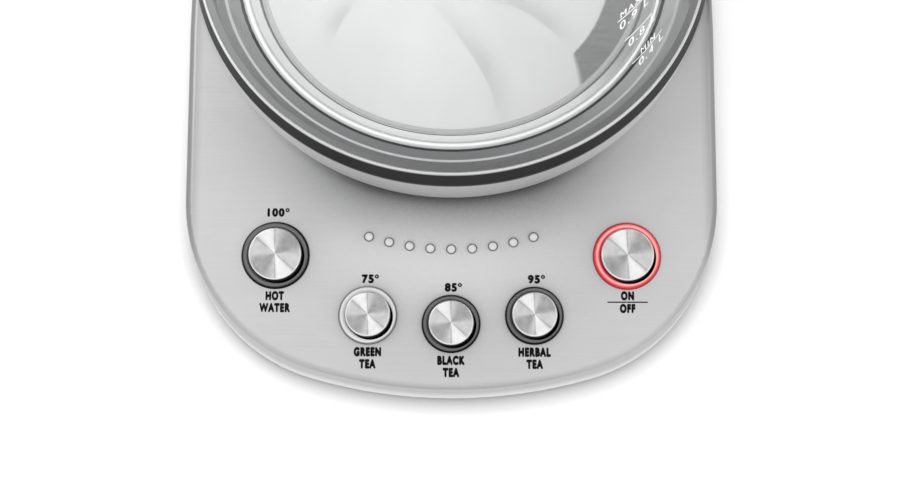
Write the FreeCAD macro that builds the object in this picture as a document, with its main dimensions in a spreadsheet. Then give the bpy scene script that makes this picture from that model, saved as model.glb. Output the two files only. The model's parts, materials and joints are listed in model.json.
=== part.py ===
import FreeCAD, Part
import math
import os
import Sketcher
from FreeCAD import Placement, Rotation, Vector

# Automatic tea maker: a power base with a sloping key panel, a glass jug with a heated floor,
# and a tea basket that a lead screw in a post lowers into the water and lifts out again.
# Millimetres; +Z up; the jug's axis is the Z axis; the feet stand on Z = 0; the key panel
# faces -Y; the handle is at +X and the spout at -X.

SIZES = {
    # power base, seen from above: an arc at the front, two corners, straight sides, round back
    "half_width": 86.0,
    "front_reach": 146.5,        # jug axis to the front edge
    "front_radius": 158.0,
    "corner_radius": 57.0,
    "cover_bottom": 3.0,
    "lip_height": 14.3,          # top of the front edge
    "panel_slope": 8.8,          # degrees
    "level_height": 32.5,        # where the slope ends and the level back begins
    "cover_wall": 1.5,
    "cover_round": 2.5,
    "tray_bottom": 2.6,
    "tray_floor": 1.8,
    "tray_rim": 1.6,
    "tray_rim_height": 5.0,
    "tray_gap": 0.3,
    "foot_radius": 8.0,
    "foot_recess": 0.8,
    "front_foot_x": 52.0,
    "front_foot_y": 110.0,
    "rear_foot_x": 34.0,
    "rear_foot_y": 66.0,
    # pedestal under the jug
    "ring_inset": 0.8,           # from the base's side
    "ring_wall": 2.0,
    "ring_top": 35.2,
    "ring_flange": 1.2,          # inward flange that holds the deck down
    "ring_round": 0.6,
    "flange_seat": 1.7,          # how far the flange lies on the cover
    "flange_overlap": 1.5,       # and how far over the deck
    "deck_gap": 0.3,
    "deck_top": 27.0,            # shelf that the jug stands on
    "deck_lip": 2.5,
    "well_radius": 63.0,         # the pocket that the jug's hub drops into
    "well_wall": 2.5,
    "well_floor_top": 10.3,
    "well_floor": 2.0,
    "boss_radius": 3.5,
    "boss_bottom": 6.0,
    "cover_screw_side": 10.0,    # from the base's side
    "cover_screw_y": 86.0,
    "lip_screw_y": 139.6,
    # screws
    "screw_radius": 1.5,
    "screw_head_radius": 2.8,
    "screw_head": 1.6,
    "screw_gap": 0.1,
    "screw_grip": 9.0,           # thread above the head
    # round power connector
    "tower_radius": 9.5,
    "tower_top": 20.0,
    "tower_neck": 13.8,
    "tower_flange": 18.0,
    "tower_gap": 0.2,
    "contact_height": 1.6,
    "contact_pitch": 3.0,
    "contact_groove": 0.6,
    # key panel: places are along the slope (up) and across it, from panel_centre
    "panel_centre": 102.6,       # jug axis to the panel's reference point
    "large_key_x": 56.4,
    "large_key_up": -1.5,
    "side_key_x": 26.6,
    "side_key_up": -20.9,
    "middle_key_up": -23.6,
    "large_halo": 10.85,         # outer radius of a large light ring
    "large_cap": 8.45,
    "small_halo": 9.25,
    "small_cap": 7.2,
    "halo_gap": 0.15,            # light ring to its hole in the cover
    "halo_rise": 0.9,
    "halo_flange": 1.2,
    "halo_depth": 4.2,           # below the panel surface
    "halo_floor": 0.8,
    "cap_gap": 0.65,             # cap to light ring
    "cap_rise": 3.2,
    "cap_wall": 0.8,
    "cap_skirt": 0.5,            # cap's lower edge above the panel surface
    "plunger_gap": 0.2,          # plunger sleeve to light ring
    "sleeve_wall": 1.4,
    "sleeve_bottom": 2.1,
    "stem_radius": 2.5,
    "stem_gap": 0.2,
    "key_travel": 1.2,
    "key_rest_gap": 0.1,         # left over the switch with the key down
    "spring_radius": 4.6,
    "spring_wire": 0.25,         # half the side of the square wire
    "spring_turns": 2.5,
    "switch_height": 2.8,
    "switch_side": 6.0,
    "actuator_radius": 1.6,
    "actuator_height": 0.4,
    "board_drop": 8.5,           # panel surface to the top of the control board
    "board_thick": 1.6,
    "board_back_x": 70.0,
    "board_front_x": 48.0,
    "board_back_up": 9.0,
    "board_side_up": -8.0,
    "board_front_up": -33.0,
    "board_post_radius": 3.2,
    "back_post_x": 66.0,
    "back_post_up": 4.0,
    "front_post_x": 40.0,
    "front_post_up": -29.0,
    "lens_radius": 1.4,
    "lens_gap": 0.2,
    "lens_rise": 0.6,
    "lens_flange": 0.8,
    "lens_count": 9,
    "lens_arc": 88.4,            # radius of the row of lenses
    "lens_pitch": 4.35,          # degrees along that arc
    "lens_up": 0.6,              # the middle lens
    "diode_height": 0.8,
    "diode_side": 3.0,
    "buzzer_x": 36.0,
    "buzzer_up": 1.0,
    "buzzer_radius": 5.5,
    "buzzer_height": 4.0,
    # mains board
    "mains_half_length": 46.0,
    "mains_gap": 2.0,            # from the deck's well
    "mains_depth": 24.5,
    "mains_bottom": 6.2,
    "mains_screw_x": 41.0,
    "coil_x": 24.0,
    "coil_length": 18.0,
    "coil_depth": 17.0,
    "coil_height": 12.0,
    "relay_length": 20.0,
    "relay_depth": 11.0,
    "relay_height": 12.5,
    # cord inlet
    "inlet_height": 16.2,
    "gland_bore": 3.6,
    "gland_body": 6.0,
    "gland_collar": 8.2,
    "gland_rise": 2.0,
    "gland_depth": 6.0,
    "gland_gap": 0.1,
    # jug underside
    "seat_gap": 0.3,             # jug to base, all the flat seats
    "skirt_overhang": 0.4,       # lower edge past the ring
    "skirt_taper": 1.3,          # the skirt narrows upwards
    "skirt_top": 40.4,
    "skirt_wall": 2.1,
    "well_gap": 1.0,             # hub to the well
    "hub_wall": 2.0,
    "hub_bottom": 10.6,
    "hub_floor": 2.0,
    "hub_gap": 0.2,
    "jug_screw_inset": 6.4,      # from the hub's outside
    "jug_boss_top": 21.0,
    "rim_rise": 1.2,
    "rim_bead": 1.0,
    "rim_gap": 0.3,
    "floor_top": 31.0,           # water side of the heated plate
    "plate_thick": 1.5,
    "bead_width": 5.6,           # crowned ring round the plate's edge
    "bead_rise": 2.5,
    "groove_gap": 0.2,           # bead to groove
    "groove_width": 0.8,
    "groove_depth": 0.5,
    "seal_width": 1.0,
    "seal_drop": 0.3,            # seal's top under the bead's crown
    "collar_slope": 3.7,         # the collar's width from its inner edge to the ridge
    "collar_step": 4.0,          # heights of the collar's ridge and flat rim over the plate
    "collar_rim": 4.9,
    "collar_ridge": 0.3,
    "collar_seat": 2.7,          # ridge to the flat rim
    "collar_flat": 3.8,          # the flat rim that the glass stands on
    "collar_thick": 0.8,
    "spreader_gap": 2.0,         # to the hub's inside
    "spreader_thick": 4.0,
    "element_radius": 42.0,
    "element_tube": 3.3,
    "element_pin": 7.0,
    "element_drop": 5.3,         # plate underside to the tube's middle
    "element_gap_angle": 64.0,   # degrees left open for the motor
    "sensor_x": 20.0,
    "sensor_radius": 4.0,
    "sensor_length": 8.0,
    "socket_radius": 17.0,
    "socket_flange": 20.0,
    "socket_top": 23.0,
    "socket_gap": 1.0,           # socket bore to connector tower
    # glass
    "seal_lip": 0.5,             # of the foot seal, between glass and skirt
    "seal_slack": 0.2,
    "glass_top_radius": 67.1,
    "glass_top": 156.0,
    "glass_wall": 2.5,
    "foot_seal": 0.8,
    # spout band
    "band_bottom": 147.5,
    "band_gap": 0.4,
    "band_wall": 1.2,
    "band_lip": 2.2,             # how far the lip covers the glass edge
    "spout_reach": 91.0,
    "spout_root": 60.0,
    "spout_root_half": 19.0,
    "spout_tip_half": 5.5,
    "spout_root_drop": 17.0,
    "spout_tip_drop": 6.0,
    "spout_rise": 3.0,
    # lid
    "plug_gap": 1.4,             # plug to glass
    "plug_depth": 11.0,
    "plug_wall": 2.0,
    "lid_overlap": 0.2,
    "lid_dome": 7.0,
    "lid_wall": 1.2,
    "lid_seal_gap": 0.3,
    "lid_seal_height": 4.0,
    "knob_radius": 15.0,
    "knob_neck": 7.0,
    "knob_height": 15.0,
    # basket drive
    "post_y": 44.0,
    "post_radius": 8.0,
    "post_wall": 1.0,
    "post_top": 142.0,
    "motor_radius": 11.0,
    "motor_length": 13.0,
    "motor_flange": 2.0,
    "lift_screw_radius": 2.5,
    "lift_screw_gap": 0.08,
    "lift_nut_radius": 6.5,
    "lift_nut_length": 14.0,
    "carriage_gap": 0.3,
    "carriage_wall": 3.6,
    "carriage_height": 30.0,
    "magnet_thick": 1.6,
    # basket
    "basket_y": -8.0,
    "basket_radius": 30.0,
    "basket_foot_radius": 27.5,
    "basket_wall": 0.8,
    "basket_bottom": 97.5,
    "basket_height": 40.0,
    "basket_rim": 2.4,
    "basket_gap": 0.3,
    "holder_width": 2.0,
    "holder_height": 5.0,
    "arm_half_width": 5.0,
    "slot_count": 14,
    "slot_half_width": 1.8,
    "slot_bottom": 7.0,
    "slot_height": 24.0,
    "basket_lid_height": 2.6,
    "basket_lid_lip": 4.0,
    # handle
    "grip_half_width": 11.0,
    "grip_half_thick": 6.0,
    "grip_round": 4.0,
    "grip_top": 151.5,
    "grip_top_x": 110.0,
    "grip_foot_reach": 29.4,     # skirt's side to the grip's middle line
    "grip_foot": 38.8,
    "grip_bend": 18.0,
    "grip_tuck": 3.6,            # how far the grip's path runs inside the skirt's side
    "grip_gap": 0.1,
    "lug_half_width": 6.0,       # steel tongue that each end of the grip slides over
    "lug_half_thick": 1.5,
    "lug_reach": 8.0,
}


class Size:
    """A number together with the sheet expression that gives it."""

    def __init__(self, value, text):
        self.value = value
        self.text = text

    def __add__(self, other):
        return joined(self, "+", other, lambda a, b: a + b)

    def __sub__(self, other):
        return joined(self, "-", other, lambda a, b: a - b)

    def __mul__(self, other):
        return joined(self, "*", other, lambda a, b: a * b)

    def __truediv__(self, other):
        return joined(self, "/", other, lambda a, b: a / b)

    def __radd__(self, other):
        return lifted(other) + self

    def __rsub__(self, other):
        return lifted(other) - self

    def __rmul__(self, other):
        return lifted(other) * self

    def __neg__(self):
        return Size(-self.value, f"(-1 * {self.text})")


def lifted(number):
    """A plain number as a Size."""
    if isinstance(number, Size):
        return number
    return Size(float(number), f"({float(number)!r})")


def joined(first, sign, second, work):
    first, second = lifted(first), lifted(second)
    return Size(work(first.value, second.value), f"({first.text} {sign} {second.text})")


def sine(angle):
    return Size(math.sin(math.radians(angle.value)), f"sin({angle.text} * 1 deg)")


def cosine(angle):
    return Size(math.cos(math.radians(angle.value)), f"cos({angle.text} * 1 deg)")


def root(size):
    return Size(math.sqrt(size.value), f"sqrt({size.text})")


# ---------------------------------------------------------------- document and sheet

doc = FreeCAD.newDocument("tea_maker")
sheet = doc.addObject("Spreadsheet::Sheet", "Sizes")
for row, (alias, number) in enumerate(SIZES.items(), start=1):
    sheet.set(f"A{row}", alias)
    sheet.set(f"B{row}", str(number))
    sheet.setAlias(f"B{row}", alias)
doc.recompute()


class Sheet:
    """Every size of the sheet as an attribute, such as S.half_width."""


S = Sheet()
for alias in SIZES:
    setattr(S, alias, Size(float(sheet.get(alias)), f"Sizes.{alias}"))

# the base's pedestal and the jug's foot, each piece stepped in from the one outside it
ring_radius = S.half_width - S.ring_inset
ring_inside = ring_radius - S.ring_wall
opening_radius = ring_inside - S.flange_seat
ring_bore = opening_radius - S.flange_overlap
deck_rim = ring_bore - S.deck_gap
deck_lip_radius = opening_radius - 2 * S.deck_gap
well_outside = S.well_radius + S.well_wall
skirt_radius = ring_radius + S.skirt_overhang
skirt_top_radius = skirt_radius - S.skirt_taper
skirt_inside = skirt_top_radius - S.skirt_wall
seal_radius = skirt_inside - S.hub_gap
glass_foot_radius = seal_radius - S.seal_lip - S.seal_slack
collar_flat_radius = seal_radius - S.collar_flat
collar_step_radius = collar_flat_radius - S.collar_seat
collar_inside = collar_step_radius - S.collar_slope
plate_radius = collar_inside - S.seal_width
hub_radius = S.well_radius - S.well_gap
hub_inside = hub_radius - S.hub_wall

NODES = {}


def kept(name, thing):
    """Mark an object as one finished sub-part; its label names its file."""
    thing.Label = name
    NODES[name] = thing
    return thing


def bind(thing, path, size):
    thing.setExpression(path, lifted(size).text)


# ---------------------------------------------------------------- sketches

def new_body(name):
    return doc.addObject("PartDesign::Body", name + "_body")


def new_sketch(body, role, level=0):
    """A sketch on one of the body's origin planes, raised by level along the plane's normal."""
    sketch = body.newObject("Sketcher::SketchObject", "sketch")
    planes = body.Origin.OriginFeatures
    sketch.AttachmentSupport = [(next(p for p in planes if p.Role == role), "")]
    sketch.MapMode = "FlatFace"
    level = lifted(level)
    sketch.AttachmentOffset = Placement(Vector(0, 0, level.value), Rotation())
    bind(sketch, "AttachmentOffset.Base.z", level)
    return sketch


def limit(sketch, constraint, size):
    """Add a dimension and tie it to the sheet."""
    index = sketch.addConstraint(constraint)
    bind(sketch, f"Constraints[{index}]", size)


def pin(sketch, edge, end, x, y):
    """Hold one point of an edge at x, y from the sketch's origin."""
    for kind, size, axis in (("DistanceX", x, -2), ("DistanceY", y, -1)):
        if not isinstance(size, Size) and size == 0:
            sketch.addConstraint(Sketcher.Constraint("PointOnObject", edge, end, axis))
        else:
            size = lifted(size)
            limit(sketch, Sketcher.Constraint(kind, -1, 1, edge, end, size.value), size)


def polygon(sketch, corners):
    """A closed outline of straight edges with every corner held."""
    first = sketch.GeometryCount
    points = [Vector(lifted(x).value, lifted(y).value, 0) for x, y in corners]
    count = len(points)
    for i in range(count):
        sketch.addGeometry(Part.LineSegment(points[i], points[(i + 1) % count]), False)
    for i in range(count):
        sketch.addConstraint(Sketcher.Constraint("Coincident", first + i, 2, first + (i + 1) % count, 1))
    for i, (x, y) in enumerate(corners):
        pin(sketch, first + i, 1, x, y)


def circle(sketch, x, y, radius):
    radius = lifted(radius)
    middle = Vector(lifted(x).value, lifted(y).value, 0)
    edge = sketch.addGeometry(Part.Circle(middle, Vector(0, 0, 1), radius.value), False)
    pin(sketch, edge, 3, x, y)
    limit(sketch, Sketcher.Constraint("Radius", edge, radius.value), radius)


def rectangle(sketch, left, low, right, high):
    polygon(sketch, [(left, low), (right, low), (right, high), (left, high)])


def base_outline(sketch, inset):
    """The base from above: front arc, corner arcs, straight sides and round back, drawn inset."""
    half = S.half_width - inset
    front = S.front_radius - inset
    corner = S.corner_radius - inset
    front_y = S.front_radius - S.front_reach
    corner_x = S.half_width - S.corner_radius
    reach = S.front_radius - S.corner_radius
    corner_y = front_y - root(reach * reach - corner_x * corner_x)
    swing = math.asin(corner_x.value / reach.value)
    up = Vector(0, 0, 1)

    def arc(x, y, radius, start, end):
        return Part.ArcOfCircle(Part.Circle(Vector(x, y, 0), up, radius), start, end)

    quarter = math.pi / 2
    right, left = half.value, -half.value
    edges = [
        Part.LineSegment(Vector(right, corner_y.value, 0), Vector(right, 0, 0)),
        arc(0, 0, half.value, 0, 2 * quarter),
        Part.LineSegment(Vector(left, 0, 0), Vector(left, corner_y.value, 0)),
        arc(-corner_x.value, corner_y.value, corner.value, 2 * quarter, 3 * quarter - swing),
        arc(0, front_y.value, front.value, 3 * quarter - swing, 3 * quarter + swing),
        arc(corner_x.value, corner_y.value, corner.value, 3 * quarter + swing, 4 * quarter),
    ]
    first = sketch.GeometryCount
    side, back, far_side, far_corner, nose, near_corner = range(first, first + len(edges))
    for edge in edges:
        sketch.addGeometry(edge, False)
    for one, end, other, start in ((side, 2, back, 1), (back, 2, far_side, 1)):
        sketch.addConstraint(Sketcher.Constraint("Coincident", one, end, other, start))
    for one, other in ((far_side, far_corner), (far_corner, nose), (nose, near_corner), (near_corner, side)):
        sketch.addConstraint(Sketcher.Constraint("Tangent", one, 2, other, 1))
    for edge in (side, far_side):
        sketch.addConstraint(Sketcher.Constraint("Vertical", edge))
    for end in (1, 2):
        sketch.addConstraint(Sketcher.Constraint("PointOnObject", back, end, -1))
    pin(sketch, back, 3, 0, 0)
    pin(sketch, nose, 3, 0, front_y)
    for edge, radius in ((back, half), (far_corner, corner), (near_corner, corner), (nose, front)):
        limit(sketch, Sketcher.Constraint("Radius", edge, radius.value), radius)


# ---------------------------------------------------------------- features

def turned(name, corners, angle=360, body=None, groove=False):
    """Turn a closed profile of (radius, height) corners about the Z axis."""
    body = body or new_body(name)
    sketch = new_sketch(body, "XZ_Plane")
    polygon(sketch, corners)
    kind = "PartDesign::Groove" if groove else "PartDesign::Revolution"
    feature = body.newObject(kind, "turn")
    feature.Profile = sketch
    feature.ReferenceAxis = (sketch, ["V_Axis"])
    feature.Angle = angle
    body.Tip = feature
    return body


def raised(body, low, high, draw, role="XY_Plane"):
    """Pad an outline from one level to another."""
    sketch = new_sketch(body, role, low)
    draw(sketch)
    pad = body.newObject("PartDesign::Pad", "pad")
    pad.Profile = sketch
    length = lifted(high) - low
    pad.Length = length.value
    bind(pad, "Length", length)
    return pad


def sunk(body, low, high, draw, role="XY_Plane"):
    """Cut an outline away from the upper level down to the lower one."""
    sketch = new_sketch(body, role, high)
    draw(sketch)
    pocket = body.newObject("PartDesign::Pocket", "pocket")
    pocket.Profile = sketch
    length = lifted(high) - low
    pocket.Length = length.value
    bind(pocket, "Length", length)
    return pocket


def edges_where(feature, test):
    """Names of the feature's edges whose middle and direction pass a test."""
    names = []
    for number, edge in enumerate(feature.Shape.Edges, start=1):
        middle = edge.valueAt((edge.FirstParameter + edge.LastParameter) / 2)
        if test(edge, middle):
            names.append(f"Edge{number}")
    return names


def softened(body, feature, radius, test, kind="PartDesign::Fillet"):
    """Round or bevel the edges that pass the test."""
    doc.recompute()
    smooth = body.newObject(kind, "soft")
    smooth.Base = (feature, edges_where(feature, test))
    path = "Radius" if kind.endswith("Fillet") else "Size"
    setattr(smooth, path, radius.value)
    bind(smooth, path, radius)
    return smooth


def at_height(level, reach=None):
    """Edge test: level rings at one height, of one radius if that is given."""
    def test(edge, middle):
        box = edge.BoundBox
        flat = abs(box.ZMin - level.value) < 0.01 and abs(box.ZMax - level.value) < 0.01
        return flat and (reach is None or abs(math.hypot(middle.x, middle.y) - reach.value) < 0.01)
    return test


def cut(name, base, *tools):
    result = base
    for tool in tools:
        step = doc.addObject("Part::Cut", name + "_cut")
        step.Base = result
        step.Tool = tool
        result = step
    return result


# ---------------------------------------------------------------- the sloping panel

slope_sine = sine(S.panel_slope)
slope_cosine = cosine(S.panel_slope)
slope_tangent = slope_sine / slope_cosine
crease_y = (S.level_height - S.lip_height) / slope_tangent - S.front_reach


def panel_height(y):
    """Height of the sloping surface at a place y."""
    return S.lip_height + (y + S.front_reach) * slope_tangent


def seat_on_panel(body, across, up):
    """Tilt a body with the panel; its own origin lands on the surface at across, up."""
    place_y = up * slope_cosine - S.panel_centre
    place_z = up * slope_sine + panel_height(-S.panel_centre)
    across = lifted(across)
    tilt = Rotation(Vector(1, 0, 0), S.panel_slope.value)
    body.Placement = Placement(Vector(across.value, place_y.value, place_z.value), tilt)
    bind(body, "Placement.Base.x", across)
    bind(body, "Placement.Base.y", place_y)
    bind(body, "Placement.Base.z", place_z)
    bind(body, "Placement.Rotation.Angle", S.panel_slope)
    return body


def tilt_sketch(sketch, drop=0):
    """Lay an XY sketch on the panel, or the given depth under it; its y runs up the slope."""
    place_y = drop * slope_sine - S.panel_centre
    place_z = panel_height(-S.panel_centre) - drop * slope_cosine
    tilt = Rotation(Vector(1, 0, 0), S.panel_slope.value)
    sketch.AttachmentOffset = Placement(Vector(0, place_y.value, place_z.value), tilt)
    bind(sketch, "AttachmentOffset.Base.y", place_y)
    bind(sketch, "AttachmentOffset.Base.z", place_z)
    bind(sketch, "AttachmentOffset.Rotation.Angle", S.panel_slope)


KEYS = {
    "hot_water": (-S.large_key_x, S.large_key_up, S.large_halo, S.large_cap),
    "green_tea": (-S.side_key_x, S.side_key_up, S.small_halo, S.small_cap),
    "black_tea": (lifted(0), S.middle_key_up, S.small_halo, S.small_cap),
    "herbal_tea": (S.side_key_x, S.side_key_up, S.small_halo, S.small_cap),
    "power": (S.large_key_x, S.large_key_up, S.large_halo, S.large_cap),
}

LENSES = []
for step in range(int(SIZES["lens_count"])):
    turn_angle = S.lens_pitch * (step - (SIZES["lens_count"] - 1) / 2)
    lens_up = S.lens_up + S.lens_arc * (1 - cosine(turn_angle))
    LENSES.append((S.lens_arc * sine(turn_angle), lens_up))

DECK_SCREWS = []
deck_screw_reach = (well_outside + deck_lip_radius) / 2
for corner_angle in (45, 135, 225, 315):
    turn = math.radians(corner_angle)
    DECK_SCREWS.append((deck_screw_reach * math.cos(turn), deck_screw_reach * math.sin(turn)))
cover_screw_x = S.half_width - S.cover_screw_side
COVER_SCREWS = [
    (cover_screw_x, -S.cover_screw_y),
    (-cover_screw_x, -S.cover_screw_y),
    (lifted(0), -S.lip_screw_y),
]
BASE_SCREWS = DECK_SCREWS + COVER_SCREWS
FEET = [
    (S.front_foot_x, -S.front_foot_y),
    (-S.front_foot_x, -S.front_foot_y),
    (S.rear_foot_x, S.rear_foot_y),
    (-S.rear_foot_x, S.rear_foot_y),
]
BOARD_POSTS = [
    (S.back_post_x, S.back_post_up),
    (-S.back_post_x, S.back_post_up),
    (S.front_post_x, S.front_post_up),
    (-S.front_post_x, S.front_post_up),
]
board_under = S.board_drop + S.board_thick
mains_top = S.mains_bottom + S.board_thick
mains_back = well_outside + S.mains_gap
mains_front = mains_back + S.mains_depth
mains_middle = (mains_back + mains_front) / 2
MAINS_SCREWS = [(S.mains_screw_x, -mains_middle), (-S.mains_screw_x, -mains_middle)]


def rings(places, *radii):
    """Draw circles of the given radii at each place."""
    def draw(sketch):
        for x, y in places:
            for radius in radii:
                circle(sketch, x, y, radius)
    return draw


# ---------------------------------------------------------------- power base

def sloped_block(name, inset, bottom, drop, rounding):
    """The base's outline as a block with its sloping and level top, both lowered by drop."""
    body = new_body(name)
    level = S.level_height - drop
    raised(body, bottom, level, lambda sketch: base_outline(sketch, inset))
    far = S.front_reach + 20
    low_edge = panel_height(-far) - drop / slope_cosine
    edge_y = crease_y + drop * (1 - slope_cosine) / slope_sine
    sketch = new_sketch(body, "YZ_Plane")
    polygon(sketch, [(-far, low_edge), (edge_y, level), (edge_y, level + 5), (-far, level + 5)])
    pocket = body.newObject("PartDesign::Pocket", "slope")
    pocket.Profile = sketch
    pocket.Midplane = True
    pocket.Length = 4 * S.half_width.value
    bind(pocket, "Length", 4 * S.half_width)

    def around_top(edge, middle):
        across = edge.BoundBox.XLength > 3.9 * S.half_width.value / 2 and edge.BoundBox.YLength < 0.1
        upright = edge.BoundBox.XLength < 0.01 and edge.BoundBox.YLength < 0.01
        return middle.z > bottom.value + 2 and not across and not upright

    return softened(body, pocket, rounding, around_top), body


def build_cover():
    """Brushed steel cover with the key, lens, jug and cord openings."""
    outer, body = sloped_block("cover", lifted(0), S.cover_bottom, lifted(0), S.cover_round)
    inner_round = S.cover_round - S.cover_wall
    inner, hollow = sloped_block("hollow", S.cover_wall, S.cover_bottom - 1, S.cover_wall, inner_round)
    shell = cut("cover", body, hollow)

    def key_holes(sketch):
        tilt_sketch(sketch, -2 * S.cover_wall)
        for across, up, halo, cap in KEYS.values():
            circle(sketch, across, up, halo + S.halo_gap)
        for across, up in LENSES:
            circle(sketch, across, up, S.lens_radius + S.lens_gap)

    slots = new_body("panel_holes")
    pad = raised(slots, lifted(0), 4 * S.cover_wall, key_holes)
    pad.Reversed = True
    slope_opening = new_body("slope_opening")
    raised(slope_opening, S.cover_bottom + 3, S.level_height + 1,
           lambda sketch: circle(sketch, 0, 0, opening_radius))
    inlet = new_body("inlet_hole")
    raised(inlet, -(S.half_width + 2), -(S.half_width - 4),
           lambda sketch: circle(sketch, 0, S.inlet_height, S.gland_body + S.gland_gap), "XZ_Plane")
    shell = cut("cover", shell, slope_opening, slots, inlet)
    bosses = new_body("cover_bosses")
    for x, y in COVER_SCREWS:
        top = panel_height(y - S.boss_radius) - 0.15 * S.cover_wall
        raised(bosses, S.boss_bottom, top, rings([(x, y)], S.boss_radius))
        pilot = S.tray_bottom + S.screw_head + S.screw_grip + 0.5
        sunk(bosses, S.boss_bottom, pilot, rings([(x, y)], S.screw_radius + S.screw_gap))
    whole = doc.addObject("Part::Fuse", "cover_whole")
    whole.Base = shell
    whole.Tool = bosses
    kept("base_cover", whole)
    return body


def build_tray():
    """Black underside: floor, rim, screw towers, board posts, foot recesses."""
    body = new_body("tray")
    inset = S.cover_wall + S.tray_gap
    floor_top = S.tray_bottom + S.tray_floor
    raised(body, S.tray_bottom, floor_top + S.tray_rim_height, lambda sketch: base_outline(sketch, inset))
    sunk(body, floor_top, floor_top + S.tray_rim_height,
         lambda sketch: base_outline(sketch, inset + S.tray_rim))
    raised(body, floor_top, S.boss_bottom, rings(BASE_SCREWS, S.boss_radius + 0.6))
    raised(body, floor_top, S.mains_bottom, rings(MAINS_SCREWS, S.board_post_radius))
    posts = []
    for across, up in BOARD_POSTS:
        post_y = up * slope_cosine + board_under * slope_sine - S.panel_centre
        posts.append((across, post_y))
        post_top = up * slope_sine + panel_height(-S.panel_centre) - board_under * slope_cosine
        raised(body, floor_top, post_top + 1, rings([(across, post_y)], S.board_post_radius))
        sunk(body, floor_top, post_top + 1, rings([(across, post_y)], S.screw_radius + S.screw_gap))
    sketch = new_sketch(body, "XY_Plane")
    tilt_sketch(sketch, board_under)
    for across, up in BOARD_POSTS:
        circle(sketch, across, up, S.board_post_radius + 1)
    level_posts = body.newObject("PartDesign::Pocket", "post_tops")
    level_posts.Profile = sketch
    level_posts.Length = 4
    level_posts.Reversed = True
    sunk(body, floor_top, S.mains_bottom, rings(MAINS_SCREWS, S.screw_radius + S.screw_gap))
    sunk(body, S.tray_bottom, S.boss_bottom, rings(BASE_SCREWS, S.screw_radius + S.screw_gap))
    sunk(body, S.tray_bottom, S.tray_bottom + S.screw_head,
         rings(BASE_SCREWS, S.screw_head_radius + S.screw_gap))
    sunk(body, S.tray_bottom, S.tray_bottom + S.foot_recess, rings(FEET, S.foot_radius + S.screw_gap))
    kept("base_tray", body)


def build_feet():
    body = new_body("feet")
    pad = raised(body, lifted(0), S.tray_bottom + S.foot_recess, rings(FEET, S.foot_radius))
    bevel = S.foot_recess
    softened(body, pad, bevel, lambda edge, middle: abs(middle.z) < 0.01, "PartDesign::Chamfer")
    kept("rubber_feet", body)


def build_pedestal(block):
    """Silver ring seated on the cover's slope and level, and the black deck that it holds down."""
    top = S.ring_top
    flange = S.level_height + S.ring_flange
    body = turned("ring", [
        (ring_bore, S.level_height), (ring_inside, S.level_height), (ring_inside, S.cover_bottom),
        (ring_radius, S.cover_bottom), (ring_radius, top), (ring_inside, top), (ring_inside, flange),
        (ring_bore, flange),
    ])
    softened(body, body.Tip, S.ring_round, at_height(top, ring_radius))
    kept("pedestal_ring", cut("ring", body, block))

    rim, lip, wall = deck_rim, deck_lip_radius, well_outside
    underside = S.deck_top - S.deck_lip
    floor_low = S.well_floor_top - S.well_floor
    neck = S.tower_neck + S.tower_gap
    deck = turned("deck", [
        (neck, floor_low), (wall, floor_low), (wall, underside), (lip, underside),
        (lip, S.level_height), (rim, S.level_height), (rim, S.deck_top), (S.well_radius, S.deck_top),
        (S.well_radius, S.well_floor_top), (neck, S.well_floor_top),
    ])
    raised(deck, S.boss_bottom, underside, rings(DECK_SCREWS, S.boss_radius))
    pilot = S.tray_bottom + S.screw_head + S.screw_grip + 0.5
    sunk(deck, S.boss_bottom, pilot, rings(DECK_SCREWS, S.screw_radius + S.screw_gap))
    kept("pedestal_deck", deck)


def build_connector():
    """Round plug in the middle of the deck, with ring contacts and a pin."""
    flange_top = S.well_floor_top - S.well_floor
    half = S.contact_height / 2
    groove = S.tower_radius - S.contact_groove
    top = S.tower_top
    middles = [top - S.contact_pitch * (count + 0.7) for count in range(2)]
    profile = [(0, flange_top - 2), (S.tower_flange, flange_top - 2), (S.tower_flange, flange_top),
               (S.tower_neck, flange_top), (S.tower_neck, S.well_floor_top),
               (S.tower_radius, S.well_floor_top)]
    for middle in reversed(middles):
        profile += [(S.tower_radius, middle - half), (groove, middle - half),
                    (groove, middle + half), (S.tower_radius, middle + half)]
    profile += [(S.tower_radius, top), (2.2, top), (2.2, top - 5), (0, top - 5)]
    kept("power_connector", turned("tower", profile))
    contacts = turned("contacts", [(0, top - 5), (1.8, top - 5), (1.8, top - 0.4), (0, top - 0.4)])
    for middle in middles:
        turned("contacts", [(groove, middle - half), (S.tower_radius, middle - half),
                            (S.tower_radius, middle + half), (groove, middle + half)], body=contacts)
    kept("connector_contacts", contacts)


def build_screws():
    """Screws of the base, heads down, all in one group."""
    head_top = S.tray_bottom + S.screw_head
    body = new_body("base_screws")
    raised(body, S.tray_bottom + 0.2, head_top, rings(BASE_SCREWS, S.screw_head_radius))
    raised(body, head_top, head_top + S.screw_grip, rings(BASE_SCREWS, S.screw_radius))
    kept("base_screws", body)

    boards = seat_on_panel(new_body("board_screws"), 0, lifted(0))
    raised(boards, -S.board_drop, -S.board_drop + 1.2, rings(BOARD_POSTS, S.screw_head_radius - 0.6))
    raised(boards, -board_under - 1.8, -S.board_drop, rings(BOARD_POSTS, S.screw_radius - 0.3))
    mains = new_body("mains_screws")
    raised(mains, mains_top, mains_top + 1.2, rings(MAINS_SCREWS, S.screw_head_radius - 0.6))
    raised(mains, S.tray_bottom + S.tray_floor, mains_top, rings(MAINS_SCREWS, S.screw_radius - 0.3))
    group = doc.addObject("Part::Compound", "board_screws")
    group.Links = [boards, mains]
    kept("board_screws", group)


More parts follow.
